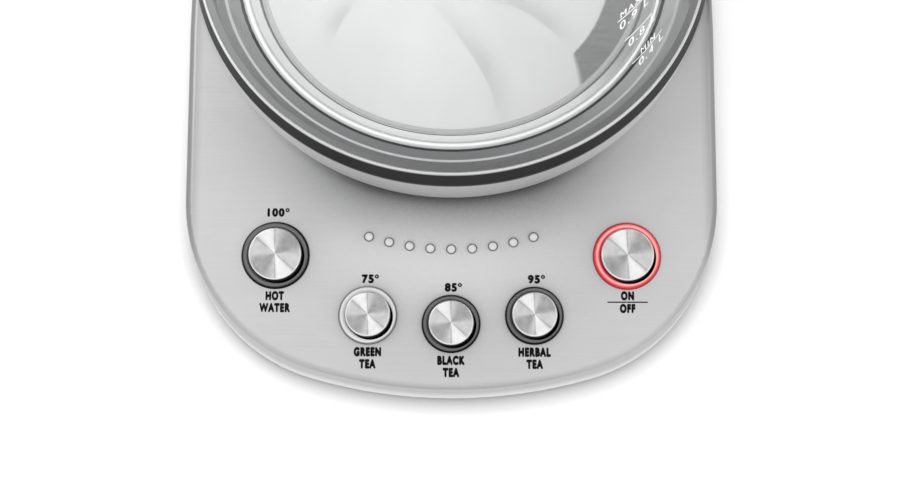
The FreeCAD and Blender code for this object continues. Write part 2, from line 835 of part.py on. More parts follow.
def build_keys():
    """The five keys: light ring, cap, plunger; their springs and switches as two groups."""
    springs, switches = [], []
    for name, (across, up, halo, cap) in KEYS.items():
        bore = cap + S.cap_gap
        neck = halo + S.halo_gap + 1
        under = -S.cover_wall
        low = -S.halo_depth
        ring = turned(name + "_ring", [
            (S.stem_radius + S.stem_gap, low), (neck - 1.6, low), (neck - 1.6, under - S.halo_flange),
            (neck, under - S.halo_flange), (neck, under), (halo, under), (halo, 0.25),
            (halo - 0.35, S.halo_rise - 0.15), (halo - 0.9, S.halo_rise), (bore + 0.35, S.halo_rise - 0.35),
            (bore, S.halo_rise - 0.7), (bore, low + S.halo_floor), (S.stem_radius + S.stem_gap, low + S.halo_floor),
        ])
        kept(name + "_ring", seat_on_panel(ring, across, up))

        shell = cap - S.cap_wall
        inside = S.cap_rise - 1.2
        button = turned(name + "_cap", [
            (0, inside), (shell, inside), (shell, S.cap_skirt), (cap, S.cap_skirt),
            (cap, S.cap_rise - 0.4), (cap - 0.4, S.cap_rise), (0, S.cap_rise),
        ])
        kept(name + "_cap", seat_on_panel(button, across, up))

        sleeve = bore - S.plunger_gap
        stem_end = S.board_drop - S.switch_height - S.key_travel - S.key_rest_gap
        plunger = turned(name + "_plunger", [
            (0, -stem_end), (S.stem_radius, -stem_end), (S.stem_radius, -0.6),
            (sleeve - S.sleeve_wall, -0.6), (sleeve - S.sleeve_wall, -S.sleeve_bottom),
            (sleeve, -S.sleeve_bottom), (sleeve, S.cap_skirt - 0.1), (shell - 0.1, S.cap_skirt - 0.1),
            (shell - 0.1, inside), (0, inside),
        ])
        kept(name + "_plunger", seat_on_panel(plunger, across, up))

        coil_low = S.halo_floor - S.halo_depth + S.spring_wire
        coil_height = -0.6 - S.spring_wire - coil_low
        coil = new_body(name + "_spring")
        section = new_sketch(coil, "XZ_Plane")
        rectangle(section, S.spring_radius - S.spring_wire, coil_low - S.spring_wire,
                  S.spring_radius + S.spring_wire, coil_low + S.spring_wire)
        helix = coil.newObject("PartDesign::AdditiveHelix", "coil")
        helix.Profile = section
        helix.ReferenceAxis = (section, ["V_Axis"])
        helix.Mode = 2
        helix.Height = coil_height.value
        helix.Turns = S.spring_turns.value
        bind(helix, "Height", coil_height)
        bind(helix, "Turns", S.spring_turns)
        springs.append(seat_on_panel(coil, across, up))

        switch = new_body(name + "_switch")
        half = S.switch_side / 2
        body_top = S.switch_height - S.board_drop - S.actuator_height
        raised(switch, -S.board_drop, body_top, lambda sketch: rectangle(sketch, -half, -half, half, half))
        raised(switch, body_top, body_top + S.actuator_height,
               lambda sketch: circle(sketch, 0, 0, S.actuator_radius))
        switches.append(seat_on_panel(switch, across, up))
    for name, parts in (("key_springs", springs), ("key_switches", switches)):
        group = doc.addObject("Part::Compound", name)
        group.Links = parts
        kept(name, group)


def build_panel_parts():
    """Lenses over the status diodes, the control board and its buzzer."""
    lenses = seat_on_panel(new_body("lenses"), 0, lifted(0))
    tip = S.lens_radius
    raised(lenses, -S.cover_wall - S.lens_flange, -S.cover_wall, rings(LENSES, tip + S.lens_gap + 0.6))
    pad = raised(lenses, -S.cover_wall, S.lens_rise, rings(LENSES, tip))
    top = S.lens_rise.value
    bevel = S.lens_rise * 0.7

    def crown(edge, middle):
        local = lenses.Placement.inverse().multVec(middle)
        return abs(min(middle.z, local.z) - top) < 0.01 or abs(middle.z - top) < 0.01

    softened(lenses, pad, bevel, crown, "PartDesign::Chamfer")
    pipe_low = S.diode_height - S.board_drop + 0.2
    raised(lenses, pipe_low, -S.cover_wall - S.lens_flange, rings(LENSES, tip))
    kept("status_lenses", lenses)

    board = seat_on_panel(new_body("board"), 0, lifted(0))
    back, side, front = S.board_back_up, S.board_side_up, S.board_front_up
    wide, narrow = S.board_back_x, S.board_front_x
    raised(board, -board_under, -S.board_drop, lambda sketch: polygon(sketch, [
        (-narrow, front), (narrow, front), (wide, side), (wide, back), (-wide, back), (-wide, side)]))
    sunk(board, -board_under, -S.board_drop, rings(BOARD_POSTS, S.screw_radius))
    half = S.diode_side / 2

    def diodes(sketch):
        for across, up in LENSES:
            rectangle(sketch, across - half, up - half, across + half, up + half)

    raised(board, -S.board_drop, S.diode_height - S.board_drop, diodes)
    kept("control_board", board)

    buzzer = seat_on_panel(new_body("buzzer"), 0, lifted(0))
    spot = (S.buzzer_x, S.buzzer_up)
    can_top = S.buzzer_height - S.board_drop
    raised(buzzer, -S.board_drop, can_top, rings([spot], S.buzzer_radius))
    sunk(buzzer, can_top - 1, can_top, rings([spot], S.screw_radius))
    kept("buzzer", buzzer)


def build_mains():
    """Mains board under the pedestal's front edge, with its transformer and relay."""
    board = new_body("mains")
    raised(board, S.mains_bottom, mains_top, lambda sketch: rectangle(
        sketch, -S.mains_half_length, -mains_front, S.mains_half_length, -mains_back))
    sunk(board, S.mains_bottom, mains_top, rings(MAINS_SCREWS, S.screw_radius))
    kept("mains_board", board)
    middle = mains_middle

    def block(centre, length, depth):
        return lambda sketch: rectangle(
            sketch, centre - length / 2, -middle - depth / 2, centre + length / 2, -middle + depth / 2)

    coil = new_body("transformer")
    core_top = mains_top + S.coil_height
    raised(coil, mains_top + 1, core_top, block(-S.coil_x, S.coil_length * 0.62, S.coil_depth))
    raised(coil, mains_top, mains_top + 1, block(-S.coil_x, S.coil_length, S.coil_depth))
    raised(coil, core_top - S.coil_height * 0.7, core_top - S.coil_height * 0.25,
           block(-S.coil_x, S.coil_length, S.coil_depth * 0.8))
    kept("transformer", coil)
    relay = new_body("relay")
    pad = raised(relay, mains_top, mains_top + S.relay_height, block(S.coil_x, S.relay_length, S.relay_depth))
    softened(relay, pad, S.foot_recess, at_height(mains_top + S.relay_height), "PartDesign::Chamfer")
    kept("heater_relay", relay)


def build_gland():
    """Rubber gland in the back wall, shaped to the wall's curve; the cord's inlet."""
    body = new_body("gland")
    outside = S.half_width + S.gland_rise
    raised(body, -(outside), -(S.half_width - S.gland_depth),
           lambda sketch: circle(sketch, 0, S.inlet_height, S.gland_body), "XZ_Plane")
    pad = raised(body, -(outside), -(S.half_width - 3),
                 lambda sketch: circle(sketch, 0, S.inlet_height, S.gland_collar), "XZ_Plane")
    wall = new_body("gland_wall")
    raised(wall, S.cover_bottom, S.level_height, lambda sketch: circle(sketch, 0, 0, S.half_width))
    hole = new_body("gland_hole")
    raised(hole, -(outside + 1), -(S.half_width - S.gland_depth - 1),
           lambda sketch: circle(sketch, 0, S.inlet_height, S.gland_body), "XZ_Plane")
    bored = cut("gland_wall", wall, hole)
    bore = new_body("gland_bore")
    raised(bore, -(outside + 1), -(S.half_width - S.gland_depth - 1),
           lambda sketch: circle(sketch, 0, S.inlet_height, S.gland_bore), "XZ_Plane")
    kept("cord_gland", cut("gland", body, bored, bore))


# ---------------------------------------------------------------- jug

plate_low = S.floor_top - S.plate_thick
glass_foot = S.floor_top + S.collar_rim + S.foot_seal


def glass_radius(height):
    """Outer radius of the tapering glass at a height."""
    share = (height - glass_foot) / (S.glass_top - glass_foot)
    return glass_foot_radius + (S.glass_top_radius - glass_foot_radius) * share


def build_glass():
    wall = S.glass_wall
    body = turned("glass", [
        (glass_foot_radius - wall, glass_foot), (glass_foot_radius, glass_foot),
        (S.glass_top_radius, S.glass_top), (S.glass_top_radius - wall, S.glass_top),
    ])
    kept("jug_glass", body)


def build_jug_base():
    """Black skirt and hub, bottom cover, floor plate with its crowned edge, collar and seals."""
    skirt_low = S.ring_top + S.seat_gap
    seat_low = S.deck_top + S.seat_gap
    flange_low = S.level_height + S.ring_flange + S.seat_gap
    neck = deck_rim - S.seat_gap
    lip_in = ring_inside - S.seat_gap
    cover_top = S.hub_bottom + S.hub_floor
    top = S.floor_top
    step = collar_step_radius
    flat = top + S.collar_rim
    collar = [(collar_inside, top + S.bead_rise), (step, top + S.collar_step), (collar_flat_radius, flat),
              (seal_radius, flat)]
    screw_reach = hub_radius - S.jug_screw_inset
    under = [(radius, height - S.collar_thick) for radius, height in collar]
    places = []
    for boss_angle in (30, 150, 270):
        turn = math.radians(boss_angle)
        places.append((screw_reach * math.cos(turn), screw_reach * math.sin(turn)))
    skirt = turned("skirt", [
        (hub_inside, cover_top), (hub_radius, cover_top), (hub_radius, seat_low), (neck, seat_low),
        (neck, flange_low), (lip_in, flange_low), (lip_in, skirt_low), (skirt_radius, skirt_low),
        (skirt_top_radius, S.skirt_top), (skirt_inside, S.skirt_top), (skirt_inside, under[-1][1]),
        *reversed(under), (collar_inside, plate_low), (hub_inside, plate_low),
    ])
    ribs = S.boss_radius + 1.2
    raised(skirt, cover_top, S.jug_boss_top, rings(places, ribs))
    pilot = cover_top + S.screw_grip
    sunk(skirt, cover_top, pilot, rings(places, S.screw_radius + S.screw_gap))
    lug(skirt, skirt_top_radius - 1, skirt_radius, S.grip_foot)
    kept("jug_skirt", skirt)

    cover = turned("jug_cover", [
        (S.socket_radius + S.hub_gap, S.hub_bottom), (hub_radius - S.hub_gap, S.hub_bottom),
        (hub_radius - S.hub_gap, cover_top), (S.socket_radius + S.hub_gap, cover_top),
    ])
    sunk(cover, S.hub_bottom, cover_top, rings(places, S.screw_radius + S.screw_gap))
    sunk(cover, S.hub_bottom, S.hub_bottom + 1.2, rings(places, S.screw_head_radius + S.screw_gap))
    kept("jug_bottom_cover", cover)

    screws = new_body("jug_screws")
    raised(screws, S.hub_bottom + 0.1, S.hub_bottom + 1.2, rings(places, S.screw_head_radius))
    raised(screws, S.hub_bottom + 1.2, S.hub_bottom + S.screw_grip, rings(places, S.screw_radius))

    wide, rise = S.bead_width, S.bead_rise
    bead_in = plate_radius - wide
    groove = bead_in - S.groove_gap
    groove_in = groove - S.groove_width
    plate = turned("plate", [
        (0, plate_low), (plate_radius, plate_low), (plate_radius, top + 0.8 * rise),
        (plate_radius - 0.1 * wide, top + rise), (plate_radius - 0.4 * wide, top + rise),
        (bead_in + 0.25 * wide, top + 0.75 * rise), (bead_in + 0.05 * wide, top + 0.3 * rise),
        (bead_in, top), (groove, top), (groove - 0.2, top - S.groove_depth),
        (groove_in + 0.2, top - S.groove_depth), (groove_in, top), (0, top),
    ])
    sunk(plate, plate_low, top, rings([(0, S.post_y)], S.lift_screw_radius + S.lift_screw_gap))
    kept("floor_plate", plate)

    seal_top = top + rise - S.seal_drop
    kept("plate_seal", turned("plate_seal", [
        (plate_radius, plate_low + 0.5), (collar_inside, plate_low + 0.5), (collar_inside, seal_top),
        (plate_radius, top + 0.8 * rise),
    ]))
    ridge = S.collar_ridge
    kept("floor_collar", turned("collar", [
        *under, collar[3], collar[2], (step + 2 * ridge, collar[1][1] + ridge),
        (step, collar[1][1] + ridge), (step - ridge, collar[1][1]), collar[0],
    ]))
    rim = seal_radius
    lip = rim - S.seal_lip
    foot_in = glass_foot_radius - S.glass_wall - S.rim_gap
    kept("glass_seal", turned("glass_seal", [
        (foot_in, flat), (rim, flat), (rim, glass_foot + 1.5), (lip, glass_foot + 1.5),
        (lip, glass_foot), (foot_in, glass_foot),
    ]))
    rim_in = glass_radius(S.skirt_top) + S.rim_gap
    edge = skirt_top_radius
    high = S.skirt_top + S.rim_rise
    kept("rim_ring", turned("rim", [
        (rim_in, S.skirt_top), (edge, S.skirt_top), (edge, high - 0.5), (edge - 0.3, high - 0.1),
        (edge - S.rim_bead / 2, high), (edge - S.rim_bead, high - 0.3), (edge - S.rim_bead, high - 0.8),
        (rim_in, S.skirt_top + 0.4),
    ]))
    return screws


def build_heater():
    """Aluminium spreader under the plate, tubular element in its groove, sensor and socket."""
    low = plate_low - S.spreader_thick
    clear = S.motor_radius + 2
    edge = hub_inside - S.spreader_gap
    spreader = turned("spreader", [(0, low), (edge, low), (edge, plate_low),
                                   (0, plate_low)])
    sunk(spreader, low, plate_low, rings([(0, S.post_y)], clear))
    sunk(spreader, low, plate_low, rings([(S.sensor_x, -S.sensor_x)], S.sensor_radius + 0.5))
    reach = S.element_radius
    tube_z = plate_low - S.element_drop
    start = 90 + S.element_gap_angle.value / 2

    def tube(name, radius, stretch):
        ring = doc.addObject("Part::Torus", name)
        ring.Radius1 = reach.value
        ring.Radius2 = radius.value
        ring.Angle3 = 360 - S.element_gap_angle.value + stretch
        ring.Placement = Placement(Vector(0, 0, tube_z.value), Rotation(Vector(0, 0, 1), start - stretch / 2))
        bind(ring, "Radius1", reach)
        bind(ring, "Radius2", radius)
        bind(ring, "Angle3", 360 - S.element_gap_angle + stretch)
        bind(ring, "Placement.Base.z", tube_z)
        bind(ring, "Placement.Rotation.Angle", 90 + S.element_gap_angle / 2 - stretch / 2)
        return ring

    groove = tube("element_groove", S.element_tube, 6)
    kept("heat_spreader", cut("spreader", spreader, groove))

    pins = new_body("element_pins")
    ends = []
    for side in (-1, 1):
        turn = S.element_gap_angle / 2 * side + 90
        ends.append((reach * cosine(turn), reach * sine(turn)))
    raised(pins, tube_z - S.element_pin, tube_z, rings(ends, S.element_tube * 0.6))
    element = doc.addObject("Part::Fuse", "element")
    element.Base = tube("element_tube", S.element_tube, 0)
    element.Tool = pins
    kept("heating_element", element)

    sensor = new_body("sensor")
    spot = [(S.sensor_x, -S.sensor_x)]
    raised(sensor, plate_low - S.sensor_length, plate_low, rings(spot, S.sensor_radius * 0.6))
    raised(sensor, plate_low - 1.2, plate_low, rings(spot, S.sensor_radius))
    kept("temperature_sensor", sensor)

    cover_top = S.hub_bottom + S.hub_floor
    bore = S.tower_radius + S.socket_gap
    kept("jug_socket", turned("socket", [
        (bore, S.hub_bottom), (S.socket_radius, S.hub_bottom), (S.socket_radius, cover_top),
        (S.socket_flange, cover_top), (S.socket_flange, cover_top + 2), (S.socket_radius, cover_top + 2),
        (S.socket_radius, S.socket_top), (0, S.socket_top), (0, S.tower_top + S.socket_gap),
        (bore, S.tower_top + S.socket_gap),
    ]))


def build_lift():
    """Gear motor under the floor, lead screw and nut in the sealed post."""
    middle = [(0, S.post_y)]
    motor = new_body("motor")
    raised(motor, plate_low - S.motor_flange - S.motor_length, plate_low - S.motor_flange,
           rings(middle, S.motor_radius))
    raised(motor, plate_low - S.motor_flange, plate_low, rings(middle, S.motor_radius + 1.5))
    kept("lift_motor", motor)

    screw = new_body("lift_screw")
    raised(screw, plate_low, S.post_top - 4, rings(middle, S.lift_screw_radius))
    raised(screw, S.floor_top + 0.3, S.floor_top + 2.3, rings(middle, S.lift_screw_radius + 2))
    kept("lift_screw", screw)

    post = new_body("post")
    pad = raised(post, S.floor_top, S.post_top, rings(middle, S.post_radius))
    softened(post, pad, S.post_wall * 1.5, at_height(S.post_top))
    raised(post, S.floor_top, S.floor_top + 2, rings(middle, S.post_radius + 3))
    sunk(post, S.floor_top, S.post_top - 3, rings(middle, S.post_radius - S.post_wall))
    sunk(post, S.post_top - 3, S.post_top - 1.5,
         rings(middle, S.lift_screw_radius + S.lift_screw_gap))
    kept("lift_post", post)

    nut_low = S.basket_bottom + S.basket_height - S.carriage_height / 2 - S.lift_nut_length / 2
    nut = new_body("nut")
    raised(nut, nut_low, nut_low + S.lift_nut_length, rings(middle, S.lift_nut_radius))
    sunk(nut, nut_low, nut_low + S.lift_nut_length,
         rings(middle, S.lift_screw_radius + S.lift_screw_gap))
    kept("magnet_nut", nut)


def build_basket():
    """Carriage that slides on the post, with its magnet ring, and the perforated basket."""
    top = S.basket_bottom + S.basket_height
    low = top - S.carriage_height
    bore = S.post_radius + S.carriage_gap
    outer = bore + S.carriage_wall
    holder = S.basket_radius + S.basket_gap
    holder_low = top - S.holder_height
    middle = [(0, S.post_y)]
    hub = [(0, S.basket_y)]
    carriage = new_body("carriage")
    raised(carriage, low, top, rings(middle, outer))
    raised(carriage, holder_low, top, rings(hub, holder + S.holder_width))
    raised(carriage, low + 6, top, lambda sketch: rectangle(
        sketch, -S.arm_half_width, S.basket_y + S.basket_radius, S.arm_half_width, S.post_y))
    sunk(carriage, low, top, rings(hub, holder))
    sunk(carriage, low, top, rings(middle, bore))
    magnet_low = low + (S.carriage_height - S.lift_nut_length) / 2
    sunk(carriage, magnet_low, magnet_low + S.lift_nut_length, rings(middle, bore + 0.5 + S.magnet_thick))
    raised(carriage, magnet_low, magnet_low + S.lift_nut_length,
           rings(middle, bore + 0.5, bore))
    kept("basket_carriage", carriage)

    magnet = new_body("magnet")
    raised(magnet, magnet_low, magnet_low + S.lift_nut_length, rings(middle, bore + 0.5 + S.magnet_thick))
    sunk(magnet, magnet_low, magnet_low + S.lift_nut_length, rings(middle, bore + 0.5))
    kept("carriage_magnet", magnet)

    wall = S.basket_wall
    foot = S.basket_bottom
    body = turned("basket", [
        (0, foot), (S.basket_foot_radius - 1.5, foot), (S.basket_foot_radius, foot + 1.5),
        (S.basket_radius, top - S.holder_height), (S.basket_radius, top),
        (S.basket_radius + S.basket_rim, top), (S.basket_radius + S.basket_rim, top + wall),
        (S.basket_radius - wall, top + wall), (S.basket_radius - wall, top - S.holder_height),
        (S.basket_foot_radius - wall, foot + 1.5 + wall), (S.basket_foot_radius - 1.5 - wall, foot + wall),
        (0, foot + wall),
    ])
    sketch = new_sketch(body, "XZ_Plane")
    half = S.slot_half_width
    rectangle(sketch, -half, foot + S.slot_bottom, half, foot + S.slot_bottom + S.slot_height)
    slot = body.newObject("PartDesign::Pocket", "slot")
    slot.Profile = sketch
    slot.Length = S.basket_radius.value + 3
    bind(slot, "Length", S.basket_radius + 3)
    doc.recompute()
    around = body.newObject("PartDesign::PolarPattern", "slots")
    around.Originals = [slot]
    around.Axis = (sketch, ["V_Axis"])
    around.Angle = 360
    around.Occurrences = int(SIZES["slot_count"])
    bind(around, "Occurrences", S.slot_count)
    body.Tip = around
    set_back(body)
    kept("tea_basket", body)

    lid_low = top + wall
    neck = S.basket_radius - wall - S.basket_gap
    lid = turned("basket_lid", [
        (0, lid_low), (neck - 1, lid_low), (neck - 1, lid_low - S.basket_lid_lip),
        (neck, lid_low - S.basket_lid_lip), (neck, lid_low), (S.basket_radius + S.basket_rim, lid_low),
        (S.basket_radius + S.basket_rim, lid_low + 0.8), (9, lid_low + 0.8), (8, lid_low + 0.8),
        (7, lid_low + S.basket_lid_height), (0, lid_low + S.basket_lid_height),
    ])
    set_back(lid)
    kept("basket_lid", lid)


def set_back(body):
    """Stand a turned body on the basket's axis."""
    body.Placement = Placement(Vector(0, S.basket_y.value, 0), Rotation())
    bind(body, "Placement.Base.y", S.basket_y)


# ---------------------------------------------------------------- spout band, lid and handle

band_lid_radius = S.glass_top_radius - S.band_lip
band_radius = glass_radius(S.band_bottom) + S.band_gap + S.band_wall
lid_low = S.glass_top + S.band_gap + S.band_wall


def lug(body, root_x, face, level):
    """Tongue at the grip's height, tapped for the grip's screw."""
    half, thick = S.lug_half_width, S.lug_half_thick
    tip = face + S.lug_reach
    raised(body, level - thick, level + thick, lambda sketch: rectangle(sketch, root_x, -half, tip, half))
    sunk(body, level - thick, level + thick,
         rings([(face + S.lug_reach / 2, 0)], S.screw_radius + S.screw_gap))


def lug_room(body, face, level):
    """What the grip loses to a lug: its slot, the screw's bore and the head's recess."""
    half, thick = S.lug_half_width + S.grip_gap, S.lug_half_thick + S.grip_gap
    tip = face + S.lug_reach + S.grip_gap
    place = [(face + S.lug_reach / 2, 0)]
    raised(body, level - thick, level + thick,
           lambda sketch: rectangle(sketch, face - S.lug_reach, -half, tip, half))
    raised(body, level - S.grip_half_thick - 1, level + S.grip_half_thick - 2,
           rings(place, S.screw_radius + S.screw_gap))
    raised(body, level - S.grip_half_thick - 1, level - S.grip_half_thick + S.screw_head,
           rings(place, S.screw_head_radius + S.screw_gap))


def lug_screw(body, face, level):
    """Screw from under the grip's end through the lug."""
    place = [(face + S.lug_reach / 2, 0)]
    under = level - S.grip_half_thick
    raised(body, under + 0.2, under + S.screw_head, rings(place, S.screw_head_radius))
    raised(body, under + S.screw_head, level + S.grip_half_thick - 2.5, rings(place, S.screw_radius))


def build_band():
    """Steel band round the glass rim with the spout drawn out of it and a lug for the handle."""
    inner = band_radius - S.band_wall
    outer = band_radius
    lip_low = S.glass_top + S.band_gap
    body = turned("band", [
        (inner, S.band_bottom), (outer, S.band_bottom), (outer, lid_low), (band_lid_radius, lid_low),
        (band_lid_radius, lip_low), (inner, lip_low),
    ])

    def spout(kind, trim, lift):
        """Loft a V-shaped trough from the glass to the tip, trimmed inward and lifted."""
        sketches = []
        for reach, half, drop, rise in (
                (S.spout_root, S.spout_root_half, S.spout_root_drop, 0),
                (S.spout_reach, S.spout_tip_half, S.spout_tip_drop, S.spout_rise)):
            top = lid_low + rise
            sketch = new_sketch(body, "YZ_Plane", -reach)
            polygon(sketch, [
                (-(half - trim), top + lift), (-(half - trim) * 0.45, top - drop + trim),
                ((half - trim) * 0.45, top - drop + trim), (half - trim, top + lift)])
            sketches.append(sketch)
        loft = body.newObject(kind, "spout")
        loft.Profile = sketches[0]
        loft.Sections = [sketches[1]]
        loft.Ruled = True
        return loft

    spout("PartDesign::AdditiveLoft", lifted(0), lifted(0))
    spout("PartDesign::SubtractiveLoft", S.band_wall, lifted(0.5))
    below = S.band_bottom - 2 * S.spout_root_drop
    turned("band", [
        (0, below), (glass_radius(below) + S.band_gap, below),
        (glass_radius(S.band_bottom) + S.band_gap, S.band_bottom),
        (inner, lip_low), (0, lip_low),
    ], body=body, groove=True)
    turned("band", [
        (0, lip_low - 1), (band_lid_radius, lip_low - 1), (band_lid_radius, lid_low),
        (outer + S.band_gap, lid_low), (outer + S.band_gap, lid_low + 6), (0, lid_low + 6),
    ], body=body, groove=True)
    lug(body, outer - 0.5, outer, S.grip_top)
    kept("spout_band", body)


def build_lid():
    """Steel lid, black plug that drops into the glass, its seal, and the knob."""
    plug = S.glass_top_radius - S.glass_wall - S.plug_gap
    low = S.glass_top - S.plug_depth
    base = lid_low + S.lid_overlap
    rim = band_radius
    seal_low = low + 2
    seal_top = seal_low + S.lid_seal_height
    seal_rim = S.glass_top_radius - S.glass_wall - S.lid_seal_gap
    groove = plug - 1.5
    inside = groove - S.plug_wall
    kept("lid_plug", turned("plug", [
        (0, low), (plug, low), (plug, seal_low), (groove, seal_low), (groove, seal_top),
        (plug, seal_top), (plug, base), (inside, base), (inside, low + S.plug_wall),
        (0, low + S.plug_wall),
    ]))
    kept("lid_seal", turned("lid_seal", [
        (groove, seal_low), (plug + 0.4, seal_low), (seal_rim, (seal_low + seal_top) / 2),
        (plug + 0.4, seal_top), (groove, seal_top),
    ]))
    crown = base + S.lid_dome
    wall = S.lid_wall
    stud = S.stem_radius

    def dome(drop):
        """The dome's profile from rim to crown, lowered by drop."""
        return [
            (rim - 1 - drop, base + 3 - drop), (rim * 0.75, base + S.lid_dome * 0.72 - drop),
            (rim * 0.45, base + S.lid_dome * 0.93 - drop), (S.knob_neck + 6, crown - drop),
            (stud + S.stem_gap, crown - drop),
        ]

    shell = turned("lid", [
        (rim - 1, base), (rim, base + 1), (rim, base + 2.2), *dome(lifted(0)), *reversed(dome(wall)),
        (rim - 1 - wall, base + 0.5), (inside, base + 0.5), (inside, base),
    ])
    kept("lid_shell", shell)
    head = S.knob_radius
    high = crown + S.knob_height
    kept("lid_knob", turned("knob", [
        (0, crown - 4), (stud, crown - 4), (stud, crown), (S.knob_neck, crown),
        (S.knob_neck, crown + S.knob_height * 0.35), (head - 1, crown + S.knob_height * 0.55),
        (head, crown + S.knob_height * 0.65), (head, crown + S.knob_height * 0.82),
        (head - 2.5, high), (0, high),
    ]))


def build_handle(screws):
    """Handle: one bent grip from the band's side down to the skirt."""
    body = new_body("grip")
    path = new_sketch(body, "XZ_Plane")
    top, foot = S.grip_top, S.grip_foot
    start = band_radius
    corners = [(start, top), (S.grip_top_x, top), (skirt_radius + S.grip_foot_reach, foot),
               (skirt_radius - S.grip_tuck, foot)]
    points = [Vector(x.value, y.value, 0) for x, y in corners]
    bend = S.grip_bend.value
    lines, arcs = [], []
    trims = []
    for i in (1, 2):
        before = (points[i - 1] - points[i]).normalize()
        after = (points[i + 1] - points[i]).normalize()
        half = before.getAngle(after) / 2
        reach = bend / math.tan(half)
        middle = (before + after).normalize() * (bend / math.sin(half))
        trims.append((points[i] + before * reach, points[i] + middle, points[i] + after * reach))
    ends = [points[0], trims[0][0], trims[0][2], trims[1][0], trims[1][2], points[3]]
    for first, last in ((0, 1), (2, 3), (4, 5)):
        lines.append(path.addGeometry(Part.LineSegment(ends[first], ends[last]), False))
    for begin, centre, end in trims:
        knee = centre + ((begin - centre) + (end - centre)).normalize() * bend
        arcs.append(path.addGeometry(Part.Arc(begin, knee, end), False))
    for arc, before, after in ((arcs[0], lines[0], lines[1]), (arcs[1], lines[1], lines[2])):
        for line, own_end in ((before, 2), (after, 1)):
            arc_end = nearest_end(path, arc, path.getPoint(line, own_end))
            path.addConstraint(Sketcher.Constraint("Tangent", line, own_end, arc, arc_end))
        limit(path, Sketcher.Constraint("Radius", arc, bend), S.grip_bend)
    pin(path, lines[0], 1, *corners[0])
    path.addConstraint(Sketcher.Constraint("Horizontal", lines[0]))
    path.addConstraint(Sketcher.Constraint("Horizontal", lines[2]))
    pin(path, lines[2], 2, *corners[3])
    slant = path.addGeometry(Part.Point(points[1]), True)
    pin(path, slant, 1, *corners[1])
    path.addConstraint(Sketcher.Constraint("PointOnObject", slant, 1, lines[1]))
    heel = path.addGeometry(Part.Point(points[2]), True)
    pin(path, heel, 1, *corners[2])
    path.addConstraint(Sketcher.Constraint("PointOnObject", heel, 1, lines[1]))

    section = new_sketch(body, "YZ_Plane", start)
    wide, thick = S.grip_half_width, S.grip_half_thick
    bevel = S.grip_round
    polygon(section, [
        (-wide + bevel, top - thick), (wide - bevel, top - thick), (wide, top - thick + bevel),
        (wide, top + thick - bevel), (wide - bevel, top + thick), (-wide + bevel, top + thick),
        (-wide, top + thick - bevel), (-wide, top - thick + bevel)])
    pipe = body.newObject("PartDesign::AdditivePipe", "grip")
    pipe.Profile = section
    pipe.Spine = (path, [])
    room = new_body("grip_room")
    raised(room, foot - 3 * thick, foot + 3 * thick,
           lambda sketch: circle(sketch, 0, 0, skirt_radius + S.grip_gap))
    raised(room, foot + 3 * thick, S.glass_top + 20,
           lambda sketch: circle(sketch, 0, 0, start + S.grip_gap))
    for face, level in ((start, top), (skirt_radius, foot)):
        lug_room(room, face, level)
        lug_screw(screws, face, level)
    kept("handle_grip", cut("grip", body, room))
    kept("jug_screws", screws)


def nearest_end(sketch, edge, point):
    """Which end of a sketch edge lies nearest a point: 1 or 2."""
    gaps = [(sketch.getPoint(edge, end) - point).Length for end in (1, 2)]
    return 1 if gaps[0] < gaps[1] else 2


# ---------------------------------------------------------------- build and write

cover_block = build_cover()
build_tray()
build_feet()
build_pedestal(cover_block)
build_connector()
build_screws()
build_keys()
build_panel_parts()
build_mains()
build_gland()
build_glass()
jug_screws = build_jug_base()
build_heater()
build_lift()
build_basket()
build_band()
build_lid()
build_handle(jug_screws)
doc.recompute()

failed = [thing.Name for thing in doc.Objects if "Invalid" in thing.State or "Error" in thing.State]
if failed:
    raise RuntimeError("failed features: " + ", ".join(failed))
for name, thing in NODES.items():
    if thing.Shape.isNull() or not thing.Shape.isValid() or not thing.Shape.Solids:
        raise RuntimeError("bad shape: " + name)
os.makedirs("parts", exist_ok=True)
for name, thing in NODES.items():
    thing.Shape.exportStep(f"parts/{name}.step")
    print(f"{name}: {len(thing.Shape.Solids)} solid(s), {thing.Shape.Volume / 1000:.2f} cm3")
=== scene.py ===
"""Looks of the automatic tea maker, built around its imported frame.

+Z points up along the jug's axis. Objects are in metres; profiles and sizes are in millimetres times MM.
"""

import json
import math

